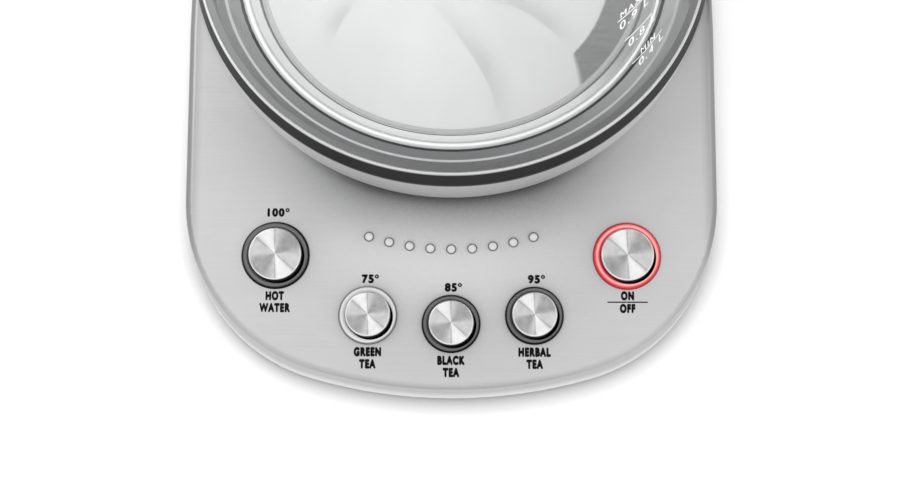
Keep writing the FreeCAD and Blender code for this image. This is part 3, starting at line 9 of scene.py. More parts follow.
import bmesh
import bpy
import numpy as np
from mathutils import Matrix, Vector

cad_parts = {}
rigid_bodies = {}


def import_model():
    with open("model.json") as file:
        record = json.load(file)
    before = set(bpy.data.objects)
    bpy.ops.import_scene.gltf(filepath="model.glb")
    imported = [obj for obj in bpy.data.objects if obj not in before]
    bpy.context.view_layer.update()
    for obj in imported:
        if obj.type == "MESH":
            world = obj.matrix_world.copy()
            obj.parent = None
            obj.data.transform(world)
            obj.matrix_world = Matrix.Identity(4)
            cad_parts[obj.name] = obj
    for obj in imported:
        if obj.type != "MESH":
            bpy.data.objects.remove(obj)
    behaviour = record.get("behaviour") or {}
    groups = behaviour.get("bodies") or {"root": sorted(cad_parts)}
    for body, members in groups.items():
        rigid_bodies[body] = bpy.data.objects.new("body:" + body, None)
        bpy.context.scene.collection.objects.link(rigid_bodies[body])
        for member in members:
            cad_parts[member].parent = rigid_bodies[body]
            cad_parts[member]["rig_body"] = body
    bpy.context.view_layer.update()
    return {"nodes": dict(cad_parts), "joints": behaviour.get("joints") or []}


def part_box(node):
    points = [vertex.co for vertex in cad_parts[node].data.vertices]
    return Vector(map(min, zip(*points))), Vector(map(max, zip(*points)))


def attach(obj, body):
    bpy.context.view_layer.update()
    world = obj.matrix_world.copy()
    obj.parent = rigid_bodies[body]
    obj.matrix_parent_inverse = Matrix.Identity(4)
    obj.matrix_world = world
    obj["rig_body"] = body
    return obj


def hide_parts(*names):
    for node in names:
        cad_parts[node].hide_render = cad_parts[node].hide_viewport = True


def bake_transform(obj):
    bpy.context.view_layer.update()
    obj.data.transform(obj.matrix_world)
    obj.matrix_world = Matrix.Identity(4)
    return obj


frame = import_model()

MM = 0.001


def round_piece(node):
    """Outer radius, lowest and highest height of a round CAD node, in millimetres."""
    low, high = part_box(node)
    return -low.x / MM, low.z / MM, high.z / MM


def half_width(node):
    """Half of a CAD node's size across, in millimetres."""
    low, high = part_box(node)
    return (high.x - low.x) / 2 / MM


# ---------------------------------------------------------------- places taken from the frame

KEY_NAMES = ("hot_water", "green_tea", "black_tea", "herbal_tea", "power")
PANEL_NORMAL = np.array(next(j["axis"] for j in frame["joints"] if j["name"] == "power_press"))
PANEL_UP = np.array((0.0, PANEL_NORMAL[2], -PANEL_NORMAL[1]))
PANEL_CENTRE = np.array((0.0, -102.6, 21.096)) * MM      # a point of the slope, in the middle of the keys

HALF_WIDTH, _, LEVEL = round_piece("base_cover")         # LEVEL is the top of the cover's level part
RING_TOP = round_piece("pedestal_ring")[2]
COVER_ROUND = 2.5                                        # radius of the cover's upper edge

FOOT_RADIUS, JUG_FOOT, JUG_TOP = round_piece("jug_glass")
TOP_RADIUS = 67.1                                        # outer radius of the glass at its rim
GLASS_WALL = 2.5
AROUND, KEY_AROUND = 256, 128                            # steps round a turned piece, and round a key's


def panel_place(name):
    """Across and up-slope place of a key, from its cap's box."""
    low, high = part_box(name + "_cap")
    middle = np.array((low + high) / 2) - PANEL_CENTRE
    return middle[0], middle @ PANEL_UP


def on_panel(points):
    """Across, up the slope and off the surface to the frame: centre + x*across + v*up + h*normal."""
    points = np.asarray(points, float)
    across = np.array((1.0, 0.0, 0.0))
    return (PANEL_CENTRE + points[..., 0:1] * across
            + points[..., 1:2] * PANEL_UP + points[..., 2:3] * PANEL_NORMAL)


def cover_height(x, y):
    """Top of the cover in millimetres: slope or level, and the quarter round at its side.

    The round of radius r drops by r - sqrt(r^2 - (r - d)^2) at a distance d < r from the side.
    """
    slope = PANEL_CENTRE[2] / MM + (y - PANEL_CENTRE[1] / MM) * PANEL_UP[2] / PANEL_UP[1]
    across = np.where(y < 0, abs(x), np.hypot(x, y))
    short = np.clip(COVER_ROUND - (HALF_WIDTH - across), 0, COVER_ROUND)
    return np.minimum(slope, LEVEL) - COVER_ROUND + np.sqrt(COVER_ROUND ** 2 - short ** 2)


def glass_radius(height):
    """Outer radius of the glass: a straight line from the foot's radius to the rim's."""
    share = (np.asarray(height) - JUG_FOOT) / (JUG_TOP - JUG_FOOT)
    return FOOT_RADIUS + (TOP_RADIUS - FOOT_RADIUS) * share


# ---------------------------------------------------------------- materials

class Wire:
    """One output socket of a node. Arithmetic on it adds Math nodes."""

    def __init__(self, tree, socket):
        self.tree = tree
        self.socket = socket

    def math(self, operation, *others, first=None):
        node = self.tree.nodes.new("ShaderNodeMath")
        node.operation = operation
        values = [self, *others] if first is None else [first, self]
        for slot, value in zip(node.inputs, values):
            plug(self.tree, slot, value)
        return Wire(self.tree, node.outputs[0])

    def __add__(self, other):
        return self.math("ADD", other)

    def __sub__(self, other):
        return self.math("SUBTRACT", other)

    def __mul__(self, other):
        return self.math("MULTIPLY", other)

    def __pow__(self, other):
        return self.math("POWER", other)

    def __rsub__(self, other):
        return self.math("SUBTRACT", first=other)

    __radd__ = __add__
    __rmul__ = __mul__

    def with_second(self, value):
        """The same node with a fixed value in its second input."""
        plug(self.tree, self.socket.node.inputs[1], value)
        return self

    def step(self, low, high):
        """0 below low, 1 above high and a smooth rise between."""
        node = self.tree.nodes.new("ShaderNodeMapRange")
        node.interpolation_type = "SMOOTHSTEP"
        for slot, value in zip(node.inputs, (self, low, high, 0.0, 1.0)):
            plug(self.tree, slot, value)
        return Wire(self.tree, node.outputs[0])


def plug(tree, slot, value):
    """Put a wire, a number or a colour into an input."""
    if isinstance(value, Wire):
        tree.links.new(value.socket, slot)
    elif hasattr(slot.default_value, "__len__") and len(slot.default_value) == 4 and len(value) == 3:
        slot.default_value = (*value, 1.0)
    else:
        slot.default_value = value


class Finish:
    """A material under construction."""

    def __init__(self, name):
        self.material = bpy.data.materials.new(name)
        self.material.use_nodes = True
        self.tree = self.material.node_tree
        self.tree.nodes.clear()
        self.output = self.tree.nodes.new("ShaderNodeOutputMaterial")

    def node(self, kind, settings=None, output=0, **inputs):
        """Any node: its settings first, then the values or wires of its inputs."""
        node = self.tree.nodes.new("ShaderNode" + kind)
        for key, value in (settings or {}).items():
            setattr(node, key, value)
        for key, value in inputs.items():
            plug(self.tree, node.inputs[key.replace("_", " ")], value)
        return Wire(self.tree, node.outputs[output])

    def place(self, scale=(1, 1, 1), turn=(0, 0, 0), move=(0, 0, 0)):
        """Object coordinates, moved so that a point is the origin, then turned and scaled."""
        coordinates = self.tree.nodes.new("ShaderNodeTexCoord")
        mapping = self.tree.nodes.new("ShaderNodeMapping")
        mapping.vector_type = "POINT"
        self.tree.links.new(coordinates.outputs["Object"], mapping.inputs["Vector"])
        shift = -np.array(move) * np.array(scale)
        mapping.inputs["Location"].default_value = shift
        mapping.inputs["Rotation"].default_value = turn
        mapping.inputs["Scale"].default_value = scale
        return Wire(self.tree, mapping.outputs[0])

    def noise(self, scale, detail, roughness=0.5, turn=(0, 0, 0)):
        """Noise of about one feature per unit of scale, which is per metre and per axis."""
        return self.node("TexNoise", Vector=self.place(scale, turn), Scale=1.0, Detail=detail,
                         Roughness=roughness)

    def mix(self, share, first, second):
        """Colour between first and second."""
        node = self.tree.nodes.new("ShaderNodeMix")
        node.data_type = "RGBA"
        for slot, value in ((node.inputs[0], share), (node.inputs[6], first), (node.inputs[7], second)):
            plug(self.tree, slot, value)
        return Wire(self.tree, node.outputs[2])

    def blend(self, share, first, second):
        """Shader between first and second."""
        node = self.tree.nodes.new("ShaderNodeMixShader")
        plug(self.tree, node.inputs[0], share)
        self.tree.links.new(first.socket, node.inputs[1])
        self.tree.links.new(second.socket, node.inputs[2])
        return Wire(self.tree, node.outputs[0])

    def bump(self, height, distance, strength):
        """Normal of a height from 0 to 1 that is distance metres deep."""
        return self.node("Bump", Height=height, Distance=distance, Strength=strength)

    def surface(self, **inputs):
        """Principled surface as the material's output."""
        shader = self.node("BsdfPrincipled", **inputs)
        self.tree.links.new(shader.socket, self.output.inputs["Surface"])
        return self.material


def grey(value):
    """Grey of steel, with a trace more blue."""
    return value, value, value + 0.005


def times(shade, factor):
    """A darker or lighter shade."""
    return [min(1.0, c * factor) for c in shade]


def length(x, y):
    """Wire of sqrt(x^2 + y^2)."""
    return (x * x + y * y) ** 0.5


def band(wire, low, high):
    """1 between two values and 0 outside, with soft ends."""
    soft = 0.2
    return wire.step(low - soft, low + soft) * (1 - wire.step(high - soft, high + soft))


def brushed(finish, shade, grain):
    """Colour and scratches of brushed steel: long fine scratches across cloudy patches."""
    contrast = 0.03
    scratches = finish.noise(grain, 4.0, 0.65)
    clouds = finish.noise((38, 55, 55), 3.0, 0.6, (0, 0, 0.7))
    tone = scratches * 0.6 + clouds * 0.4
    dark, light = times(shade, 1 - contrast), times(shade, 1 + contrast)
    return finish.mix(tone.step(0.35, 0.65), dark, light), scratches


def scratched(finish, colour, scratches, roughness, metal=1.0):
    """Brushed surface of a colour, with its scratches in the gloss and the bump too."""
    depth = 0.006 * MM
    return finish.surface(
        Base_Color=colour, Metallic=metal, Roughness=scratches * 0.12 + (roughness - 0.06),
        Anisotropic=0.35, Normal=finish.bump(scratches, depth, 0.3))


def steel(name, shade, roughness, grain):
    """Plain brushed steel. The grain is in scratches per metre along each axis."""
    finish = Finish(name)
    return scratched(finish, *brushed(finish, shade, grain), roughness)


def from_axis(finish):
    """Wires of the distance from the jug's axis and of x, y and z, in millimetres."""
    parts = finish.tree.nodes.new("ShaderNodeSeparateXYZ")
    finish.tree.links.new(finish.place().socket, parts.inputs[0])
    x, y, z = (Wire(finish.tree, socket) * (1 / MM) for socket in parts.outputs)
    return length(x, y), x, y, z


def dot_product(finish, vector, direction):
    """Wire of the dot product of a wired vector and a fixed one."""
    product = finish.node("VectorMath", {"operation": "DOT_PRODUCT"}, 1, Vector=vector)
    return product.with_second(direction)


def facing(finish, direction):
    """Wire of the cosine between the surface's normal and a direction."""
    return dot_product(finish, finish.node("NewGeometry", output=1), direction)


def cover_steel():
    """Brushed steel of the cover, with a painted highlight that lightens the middle of the panel.

    The round edge has a little painted shade, a painted reflection of the table lightens the wall towards
    the table, and painted shade darkens the panel close in front of the ring that stands on it.
    """
    finish = Finish("brushed_cover")
    shade = grey(0.60)
    colour, scratches = brushed(finish, shade, (60, 2600, 2600))
    _, x, y, z = from_axis(finish)
    aside, forward = x.math("ABSOLUTE"), 0 - y

    # painted highlight: lighter middle of the panel, stretched across, and a slow rise to the right
    from_middle = (x * x * 0.22 + (y + 101) * (y + 101)) ** 0.5
    light = (1 - from_middle.step(2, 27)) * 0.7 + x.step(0, 80) * 0.14
    colour = finish.mix(light, colour, grey(0.9))

    up = facing(finish, (0.0, 0.0, 1.0))
    wall = 1 - up.step(0.15, 0.5)
    # painted shade on the round edge, weaker towards the front
    edge = up.step(0.3, 0.6) * (1 - up.step(0.88, 0.987)) * (1 - forward.step(90, 135) * 0.85)
    colour = finish.mix(edge * 0.4, colour, times(shade, 0.4))
    # painted reflection of the table: the wall is white at its foot and steel grey at its top
    colour = finish.mix(wall, colour, finish.mix(z.step(3.0, 10.5), (1.0, 1.0, 1.0), shade))
    # painted shade along both sides of the panel
    side = aside.step(HALF_WIDTH - 5.5, HALF_WIDTH - 1.2)
    colour = finish.mix(side * 0.42, colour, times(shade, 0.35))

    # painted shade in front of the ring: darker where ambient occlusion finds less open sky, weaker to
    # the sides
    open_sky = finish.node("AmbientOcclusion", {"samples": 12}, 1, Distance=0.045)
    front = forward.step(42, 82) * (1 - aside.step(22, 62) * 0.6)
    painted_shade = (1 - open_sky.step(0.52, 1.0)) * front * (1 - wall)
    colour = finish.mix(painted_shade, colour, times(shade, 0.05))
    return scratched(finish, colour, scratches, 0.42, 1 - wall * 0.8)


def polished(name, shade, roughness):
    """Polished steel with faint cloudiness."""
    finish = Finish(name)
    clouds = finish.noise((90, 90, 90), 4.0, 0.6)
    return finish.surface(Base_Color=finish.mix(clouds, times(shade, 0.96), shade), Metallic=1.0,
                          Roughness=clouds * 0.08 + roughness)


def plastic(name, colour, roughness, grain=0.0, coat=0.0, sheen=0.5):
    """Moulded plastic: slight unevenness of gloss, and a fine texture if grain is given."""
    finish = Finish(name)
    cloud = finish.noise((120, 120, 120), 3.0)
    inputs = {"Base_Color": finish.mix(cloud, times(colour, 0.9), colour),
              "Roughness": cloud * 0.06 + roughness, "Coat_Weight": coat, "Coat_Roughness": 0.05,
              "Specular_IOR_Level": sheen}
    if grain:
        inputs["Normal"] = finish.bump(finish.noise((2200, 2200, 2200), 2.0), grain, 0.6)
    return finish.surface(**inputs)


def lens(name, colour, glow, strength):
    """Small translucent dome with a lamp behind it; its side is grey with painted shade."""
    finish = Finish(name)
    cloud = finish.noise((200, 200, 200), 2.0)
    # painted shade: the dome's side, turned away from the panel, is grey and does not glow
    top = facing(finish, PANEL_NORMAL).step(0.5, 0.9)
    return finish.surface(
        Base_Color=finish.mix(top, (0.35, 0.35, 0.35), colour), Roughness=cloud * 0.1 + 0.2,
        Coat_Weight=0.3, Emission_Color=finish.mix(top, (0.0, 0.0, 0.0), glow),
        Emission_Strength=strength)


def white_ink():
    """White print on clear glass, with a painted glow standing in for the light it gets from behind as
    much as from the front.
    """
    finish = Finish("white_ink")
    cloud = finish.noise((500, 500, 500), 2.0)
    white = finish.mix(cloud, (0.86, 0.86, 0.86), (0.92, 0.92, 0.92))
    # painted glow: the ink's colour as emission, for the light it gets from behind
    return finish.surface(Base_Color=white, Roughness=0.5, Emission_Color=white, Emission_Strength=0.35)


def clear_glass():
    """Clear heat-proof glass with a weak reflection; lamps shine through it."""
    finish = Finish("clear_glass")
    tint = (0.985, 0.99, 0.988)
    body = finish.node("BsdfPrincipled", Base_Color=tint, Roughness=0.0, IOR=1.47,
                       Transmission_Weight=1.0)
    bent = finish.node("BsdfRefraction", Color=tint, Roughness=0.0, IOR=1.47)
    through = finish.node("BsdfTransparent", Color=(0.96, 0.96, 0.96))
    shadow = finish.node("LightPath", output=1)
    weak = finish.blend(0.8, body, bent)
    finish.tree.links.new(finish.blend(shadow, weak, through).socket, finish.output.inputs["Surface"])
    return finish.material


def on_key(finish, place):
    """Wires of the way across and up the panel from a key's middle, and of the height off the panel."""
    local = finish.place(move=on_panel([*place, 0.0]))
    return [dot_product(finish, local, direction)
            for direction in ((1.0, 0.0, 0.0), PANEL_UP, PANEL_NORMAL)]


SIDE_TOP = 2.8 * MM                          # where a cap's side, black with painted shade, ends, off the panel
SHADE_MOVE = (0.72 * MM, -0.66 * MM)         # of the cap's shade on its ring, across and up the panel


def spun(name, place, reach, shade):
    """Spun steel cap: circular scratches, and light and dark sectors of painted highlight and shade round
    its middle.

    Sectors repeat after half a turn, so each is cos 2(angle - its middle) from a low limit up to 1.
    The edge is a bright line of painted highlight and the side is black with painted shade.
    """
    finish = Finish(name)
    across, up, height = on_key(finish, place)
    angle, radius = up.math("ARCTAN2", across), length(across, up)

    def painted_sector(middle, low):
        return (angle * 2 - 2 * math.radians(middle)).math("COSINE").step(low, 1.0)

    lines = finish.node("TexNoise", {"noise_dimensions": "1D"}, W=radius * 9000, Scale=1.0, Detail=2.0)
    blur = finish.noise((420, 420, 420), 3.0, 0.6)
    # painted highlights and shade: light and dark sectors, with random tone over them
    tone = (painted_sector(113, 0.5) * 0.46 - painted_sector(40, 0.0) * 0.34 - painted_sector(91, 0.99) * 0.34
            - painted_sector(139, 0.985) * 0.24 + painted_sector(168, 0.7) * 0.06 + blur * 0.5 + 0.20)
    # painted highlight: a bright line round the cap's edge
    edge = (radius - reach + 0.4 * MM).step(-0.1 * MM, 0.1 * MM)
    face = finish.mix(tone + edge * 0.9 + lines * 0.08, times(shade, 0.40), times(shade, 1.3))
    # painted shade: the side below SIDE_TOP is black and not metal
    metal = height.step(SIDE_TOP - 0.4 * MM, SIDE_TOP)
    return finish.surface(Base_Color=finish.mix(metal, (0.012, 0.012, 0.013), face), Metallic=metal,
                          Roughness=lines * 0.08 + 0.26, Normal=finish.bump(lines, 0.005 * MM, 0.4))


def halo(name, place, inner, outer, edge, body, crown, glow):
    """Domed light ring: edge colour at its outside, body colour, a lighter line of painted highlight on
    its crown.

    The cap's black shade lies on it: a disc as wide as the cap, moved to the lower right. The edge of
    a ring that doesn't glow is metal.
    """
    finish = Finish(name)
    across, up, _ = on_key(finish, place)
    cloud = finish.noise((300, 300, 300), 2.0)
    share = (length(across, up) - inner) * (1 / (outer - inner))
    away = (share - 0.45).math("ABSOLUTE") * 2
    # painted highlight: the crown colour along the middle of the dome
    colour = finish.mix(away.step(0.05, 0.6), crown, body)
    rim = (share + cloud * 0.05).step(0.76, 0.90)
    colour = finish.mix(rim, colour, edge)
    lit = (length(across - SHADE_MOVE[0], up - SHADE_MOVE[1]) - inner).step(-0.1 * MM, 0.1 * MM)
    colour = finish.mix(lit, (0.002, 0.002, 0.002), colour)
    metal = 1 - lit
    if not glow:
        metal = metal.math("MAXIMUM", rim)
    return finish.surface(
        Base_Color=colour, Roughness=cloud * 0.08 + 0.22, Coat_Weight=(1 - metal) * 0.3, Metallic=metal,
        Coat_Roughness=0.08, Emission_Color=colour, Emission_Strength=glow)


# painted reflections, faint curved arcs on the heated floor: middle, radius and the two ends as angles,
# in mm and degrees
PAINTED_REFLECTIONS = (((-10, -38), 29, 130, 175), ((-61, -75), 78, 5, 50), ((6, -55), 38, 30, 85))
# painted highlight and shade lines on the rings of the heated floor, from the inside out: their two edges
# and shade
FLOOR_LINES = ((62.9, 64.7, 0.66), (64.8, 65.7, 0.22), (68.3, 69.0, 0.68), (69.2, 70.0, 2.3))


def painted_reflection(x, y, cloud, middle, reach, start, end):
    """Wire of a painted reflection: an arc round a middle, sharp inside at its radius, fading outwards
    and at both ends.
    """
    across, along = x - middle[0], y - middle[1]
    angle, start, end, fade = along.math("ARCTAN2", across), math.radians(start), math.radians(end), 0.35
    inside = length(across, along) + cloud * 6 - (reach + 3)
    reflection_band = inside.step(-1.0, 0.3) * (1 - inside.step(0.0, 9.0))
    return reflection_band * angle.step(start, start + fade) * (1 - angle.step(end - fade, end))


def heated_floor():
    """Polished plate: nearly white, with faint curved painted reflections, a grey brushed arc of painted
    reflection, painted shade on the right of its rim, painted highlight and shade lines on its rings and
    a painted glow.
    """
    finish = Finish("heated_floor")
    radius, x, y, _ = from_axis(finish)
    cloud = finish.noise((30, 14, 14), 4.0, 0.55, (0, 0, 0.9))
    colour = finish.mix(cloud.step(0.3, 0.7), grey(0.88), (0.95, 0.95, 0.95))
    # painted reflections: faint dark arcs
    for where in PAINTED_REFLECTIONS:
        colour = finish.mix(painted_reflection(x, y, cloud, *where) * 0.45, colour, (0.55, 0.55, 0.55))

    # painted reflection: a grey brushed arc on the right of the plate
    angle = y.math("ARCTAN2", x)
    slant = angle + radius * 0.0114
    reflection_band = (radius + cloud * 2).step(53.8, 55.0) * slant.step(-0.16, -0.11) * (1 - angle.step(0.2, 0.9))
    grain = finish.noise((120, 900, 900), 3.0, 0.6, (0, 0, 0.75))
    reflection_grey = finish.mix(grain, grey(0.27), (0.42, 0.42, 0.42))
    colour = finish.mix(reflection_band * (1 - radius.step(65.2, 65.8)), colour, reflection_grey)
    # painted shade on the right of the rim
    right_shade = radius.step(65.0, 66.0) * angle.step(-0.95, -0.55) * (1 - angle.step(0.6, 1.2))
    colour = finish.mix(right_shade * 0.7, colour, (0.36, 0.36, 0.36))

    # painted glow: the plate's colour, with its painted lines, as emission
    painted_glow = colour
    # painted highlight and shade lines on the rings
    for low, high, shade in FLOOR_LINES:
        painted_line = band(radius, low, high)
        painted_glow = finish.mix(painted_line, painted_glow, (shade, shade, shade))
        colour = finish.mix(painted_line, colour, [min(0.95, shade)] * 3)
    return finish.surface(Base_Color=colour, Metallic=0.05, Roughness=cloud * 0.1 + 0.32,
                          Specular_IOR_Level=0.3, Emission_Color=painted_glow, Emission_Strength=0.25)


def ring_steel():
    """Brushed steel of the ring under the jug, with a painted shadow close under the skirt that overhangs
    it.
    """
    finish = Finish("brushed_ring")
    colour, scratches = brushed(finish, grey(0.80), (400, 400, 3500))
    height = from_axis(finish)[3]
    # painted shadow: near black at the top of the ring, under the skirt
    colour = finish.mix(height.step(RING_TOP - 2.2, RING_TOP - 1.2), colour, (0.03, 0.03, 0.03))
    return scratched(finish, colour, scratches, 0.40, 0.35)


def collar_steel():
    """Grey brushed collar with painted light that makes it lighter at its sides and its right, and a
    painted highlight as a bright line on its ridge.
    """
    finish = Finish("floor_collar_steel")
    colour, scratches = brushed(finish, grey(0.30), (700, 700, 700))
    radius, x, y, _ = from_axis(finish)
    # painted light: lighter towards the sides, the right and a little outwards
    sides = 1 - (y * (-1 / FOOT_RADIUS)).step(0.35, 1.0)
    painted_light = radius.step(75.0, 79.0) * 0.1 + sides * 0.35 + x.step(20, 75) * 0.3
    colour = finish.mix(painted_light, colour, grey(0.85))
    # painted highlight: a white, glowing line on the ridge
    painted_line, white = band(radius, 75.4, 76.2), (0.9, 0.9, 0.9)
    return finish.surface(
        Base_Color=finish.mix(painted_line, colour, white), Metallic=1 - painted_line, Roughness=scratches * 0.12 + 0.36,
        Emission_Color=finish.mix(painted_line, (0, 0, 0), white), Emission_Strength=0.2)


def rim_steel():
    """Polished bead; the ledge inside it is grey."""
    finish = Finish("rim_steel")
    bead = from_axis(finish)[0].step(83.2, 83.35)
    cloud = finish.noise((90, 90, 90), 4.0, 0.6)
    return finish.surface(Base_Color=finish.mix(bead, grey(0.36), grey(0.8)), Metallic=1.0,
                          Roughness=0.42 - bead * 0.3 + cloud * 0.06)


COVER_STEEL = cover_steel()
RING_STEEL = ring_steel()
BAND_STEEL = steel("brushed_band", grey(0.62), 0.3, (300, 300, 3500))
COLLAR_STEEL = collar_steel()
RIM_STEEL = rim_steel()
FLOOR = heated_floor()
STEEL_PARTS = polished("stainless", grey(0.62), 0.18)
SCREW_STEEL = polished("screw_steel", (0.6, 0.6, 0.61), 0.25)
ALUMINIUM = steel("cast_aluminium", (0.62, 0.63, 0.64), 0.5, (700, 700, 700))
BRASS = polished("contact_brass", (0.78, 0.58, 0.28), 0.2)
SKIRT_BLACK = plastic("skirt_black", (0.018, 0.018, 0.019), 0.38, sheen=0.3)
BLACK_GLOSS = plastic("gloss_black", (0.016, 0.016, 0.018), 0.22, coat=0.5)
BLACK_SATIN = plastic("satin_black", (0.022, 0.022, 0.024), 0.42, grain=0.00003)
GRIP_BLACK = plastic("grip_black", (0.028, 0.028, 0.03), 0.5, grain=0.00005)
RUBBER = plastic("black_rubber", (0.03, 0.03, 0.032), 0.75, grain=0.00004)
SILICONE = plastic("grey_silicone", grey(0.14), 0.5)
SEAL_DARK = plastic("dark_seal", (0.05, 0.05, 0.052), 0.4)
LENS = lens("white_lens", (0.76, 0.76, 0.76), (1.0, 1.0, 1.0), 0.04)
BOARD = plastic("board_green", (0.012, 0.10, 0.04), 0.35)
WINDING = plastic("winding_tape", (0.42, 0.19, 0.07), 0.5)
RELAY_BLUE = plastic("relay_case", (0.03, 0.06, 0.2), 0.35)
MAGNET = polished("magnet_nickel", (0.42, 0.42, 0.43), 0.3)
SHEATH = plastic("element_sheath", (0.14, 0.13, 0.12), 0.6)
INK = plastic("black_ink", (0.012, 0.012, 0.013), 0.5, sheen=0.2)
WHITE_INK = white_ink()
GLASS = clear_glass()

# key rings: slot, colours of the edge, the body and the crown's painted highlight, and how much they glow
DARK_RING = ("ring_dark", (0.012, 0.012, 0.013), (0.10, 0.10, 0.103), grey(0.2), 0.0)
BRIGHT_RINGS = {
    "green_tea": ("ring_clear", grey(0.30), grey(0.78), grey(0.86), 0.12),
    "power": ("ring_red", (0.38, 0.01, 0.012), (0.80, 0.03, 0.035), (0.95, 0.42, 0.42), 0.45),
}

# the record's slot of each finish that new pieces wear
SLOTS = {
    "brushed_steel": (COVER_STEEL, RING_STEEL, BAND_STEEL),
    "plate_steel": (FLOOR, COLLAR_STEEL),
    "bright_steel": (RIM_STEEL, STEEL_PARTS),
    "spring_steel": (SCREW_STEEL,),
    "black_gloss": (SKIRT_BLACK, BLACK_GLOSS),
    "black_matte": (BLACK_SATIN, GRIP_BLACK, INK),
    "rubber_black": (RUBBER,),
    "silicone": (SILICONE, SEAL_DARK),
    "lens_white": (LENS, WHITE_INK),
    "glass": (GLASS,),
}
SLOT_OF = {material.name: slot for slot, materials in SLOTS.items() for material in materials}


# ---------------------------------------------------------------- pieces

def piece(name, mesh, material, body, nodes=(), sharp=32):
    """A finished mesh as an object that rides on a body, if one is given, and stands for CAD nodes."""
    mesh.materials.clear()
    mesh.materials.append(material)
    mesh.polygons.foreach_set("use_smooth", np.ones(len(mesh.polygons), bool))
    mesh.set_sharp_from_angle(angle=math.radians(sharp))
    thing = bpy.data.objects.new(name, mesh)
    bpy.context.scene.collection.objects.link(thing)
    if body:
        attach(thing, body)
    if nodes:
        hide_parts(*nodes)
    return thing


def grid_mesh(name, points, close_around=True, close_across=True):
    """Mesh of a grid of points (across, around, xyz), doubles merged and normals turned outwards."""
    rows, columns = points.shape[:2]
    row = np.arange(rows if close_across else rows - 1)
    column = np.arange(columns if close_around else columns - 1)
    row, column = np.meshgrid(row, column, indexing="ij")
    below, beside = (row + 1) % rows, (column + 1) % columns
    faces = np.stack([row * columns + column, row * columns + beside,
                      below * columns + beside, below * columns + column], axis=-1).reshape(-1, 4)
    mesh = bpy.data.meshes.new(name)
    mesh.from_pydata(points.reshape(-1, 3), [], faces.tolist())
    tidy(mesh)
    return mesh


def tidy(mesh):
    """Merge doubles, drop faces without area and turn normals outwards."""
    gap = 1e-7
    work = bmesh.new()
    work.from_mesh(mesh)
    bmesh.ops.remove_doubles(work, verts=work.verts, dist=gap)
    bmesh.ops.dissolve_degenerate(work, edges=work.edges, dist=gap)
    bmesh.ops.recalc_face_normals(work, faces=work.faces)
    work.to_mesh(mesh)
    work.free()


def get_places(mesh):
    """Array of a mesh's vertices, one row each."""
    points = np.empty(len(mesh.vertices) * 3)
    mesh.vertices.foreach_get("co", points)
    return points.reshape(-1, 3)


def set_places(mesh, points):
    """Move a mesh's vertices to points."""
    mesh.vertices.foreach_set("co", np.asarray(points).ravel())
    mesh.update()
    return mesh


def soft_profile(corners):
    """Closed profile whose corners (radius, height, softness) become parabolas.

    The curve starts at a, a length s along the edge before the corner c, and ends at b, as far along the
    edge after it: (1-t)^2 a + 2t(1-t) c + t^2 b for t from 0 to 1. The length is the softness, or the
    share called most of the shorter edge. One more point a little beyond each end keeps the shading of
    the straight part straight.
    """
    corners = np.array([(*corner, 0.0) if len(corner) == 2 else corner for corner in corners], float)
    place, softness = corners[:, :2], corners[:, 2]
    before, after = np.roll(place, 1, axis=0) - place, np.roll(place, -1, axis=0) - place
    long_before, long_after = np.hypot(*before.T), np.hypot(*after.T)
    most = 0.45
    reach = np.minimum(softness, most * np.minimum(long_before, long_after))
    before, after = before / long_before[:, None], after / long_after[:, None]
    t, beyond = np.linspace(0, 1, 5)[:, None], 1.1
    points = []
    for corner, back, ahead, s in zip(place, before, after, reach):
        if s < 1e-9:
            points.append(corner[None])
            continue
        start, end = corner + back * s, corner + ahead * s
        curve = (1 - t) ** 2 * start + 2 * t * (1 - t) * corner + t ** 2 * end
        points += [(corner + back * s * beyond)[None], curve, (corner + ahead * s * beyond)[None]]
    return np.concatenate(points)


def turned(name, corners, material, body, nodes, place=None, around=AROUND, sharp=32):
    """Profile of (radius, height) in millimetres turned about Z: x = r cos a, y = r sin a, z = height.

    With a place on the panel, the axis is the panel's normal there.
    """
    profile = soft_profile(corners) * MM
    angle = np.linspace(0, 2 * math.pi, around, endpoint=False)
    radius, height = profile[:, 0:1], profile[:, 1:2]
    flat = height * np.ones_like(angle)
    points = np.stack([radius * np.cos(angle), radius * np.sin(angle), flat], axis=-1)
    if place is not None:
        points = on_panel(points + (*place, 0.0))
    return piece(name, grid_mesh(name, points), material, body, nodes, sharp)


def dressed(node, material, sharp=28):
    """A copy of a CAD node with its triangles merged and its round faces shaded smooth."""
    source = frame["nodes"][node]
    mesh = source.data.copy()
    mesh.name = node + "_skin"
    work = bmesh.new()
    work.from_mesh(mesh)
    bmesh.ops.remove_doubles(work, verts=work.verts, dist=1e-6)
    work.to_mesh(mesh)
    work.free()
    thing = piece(node + "_skin", mesh, material, source["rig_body"], [node], sharp)
    weigh = thing.modifiers.new("weigh", "WEIGHTED_NORMAL")
    weigh.keep_sharp = True
    return thing


def coloured(material, *nodes):
    """CAD nodes that keep their own mesh and get a finish."""
    for node in nodes:
        materials = frame["nodes"][node].data.materials
        if not materials:
            materials.append(material)
        for slot in range(len(materials)):
            materials[slot] = material


# ---------------------------------------------------------------- power base

def make_base():
    """Cover, tray and feet, and the electric parts inside."""
    dressed("base_cover", COVER_STEEL)
    dressed("base_tray", BLACK_SATIN)
    dressed("rubber_feet", RUBBER)
    dressed("cord_gland", RUBBER)
    coloured(SCREW_STEEL, "base_screws", "board_screws")
    coloured(BOARD, "control_board", "mains_board")
    coloured(BLACK_SATIN, "key_switches", "buzzer", "power_connector")
    coloured(BRASS, "connector_contacts")
    coloured(WINDING, "transformer")
    coloured(RELAY_BLUE, "heater_relay")
    make_pedestal()


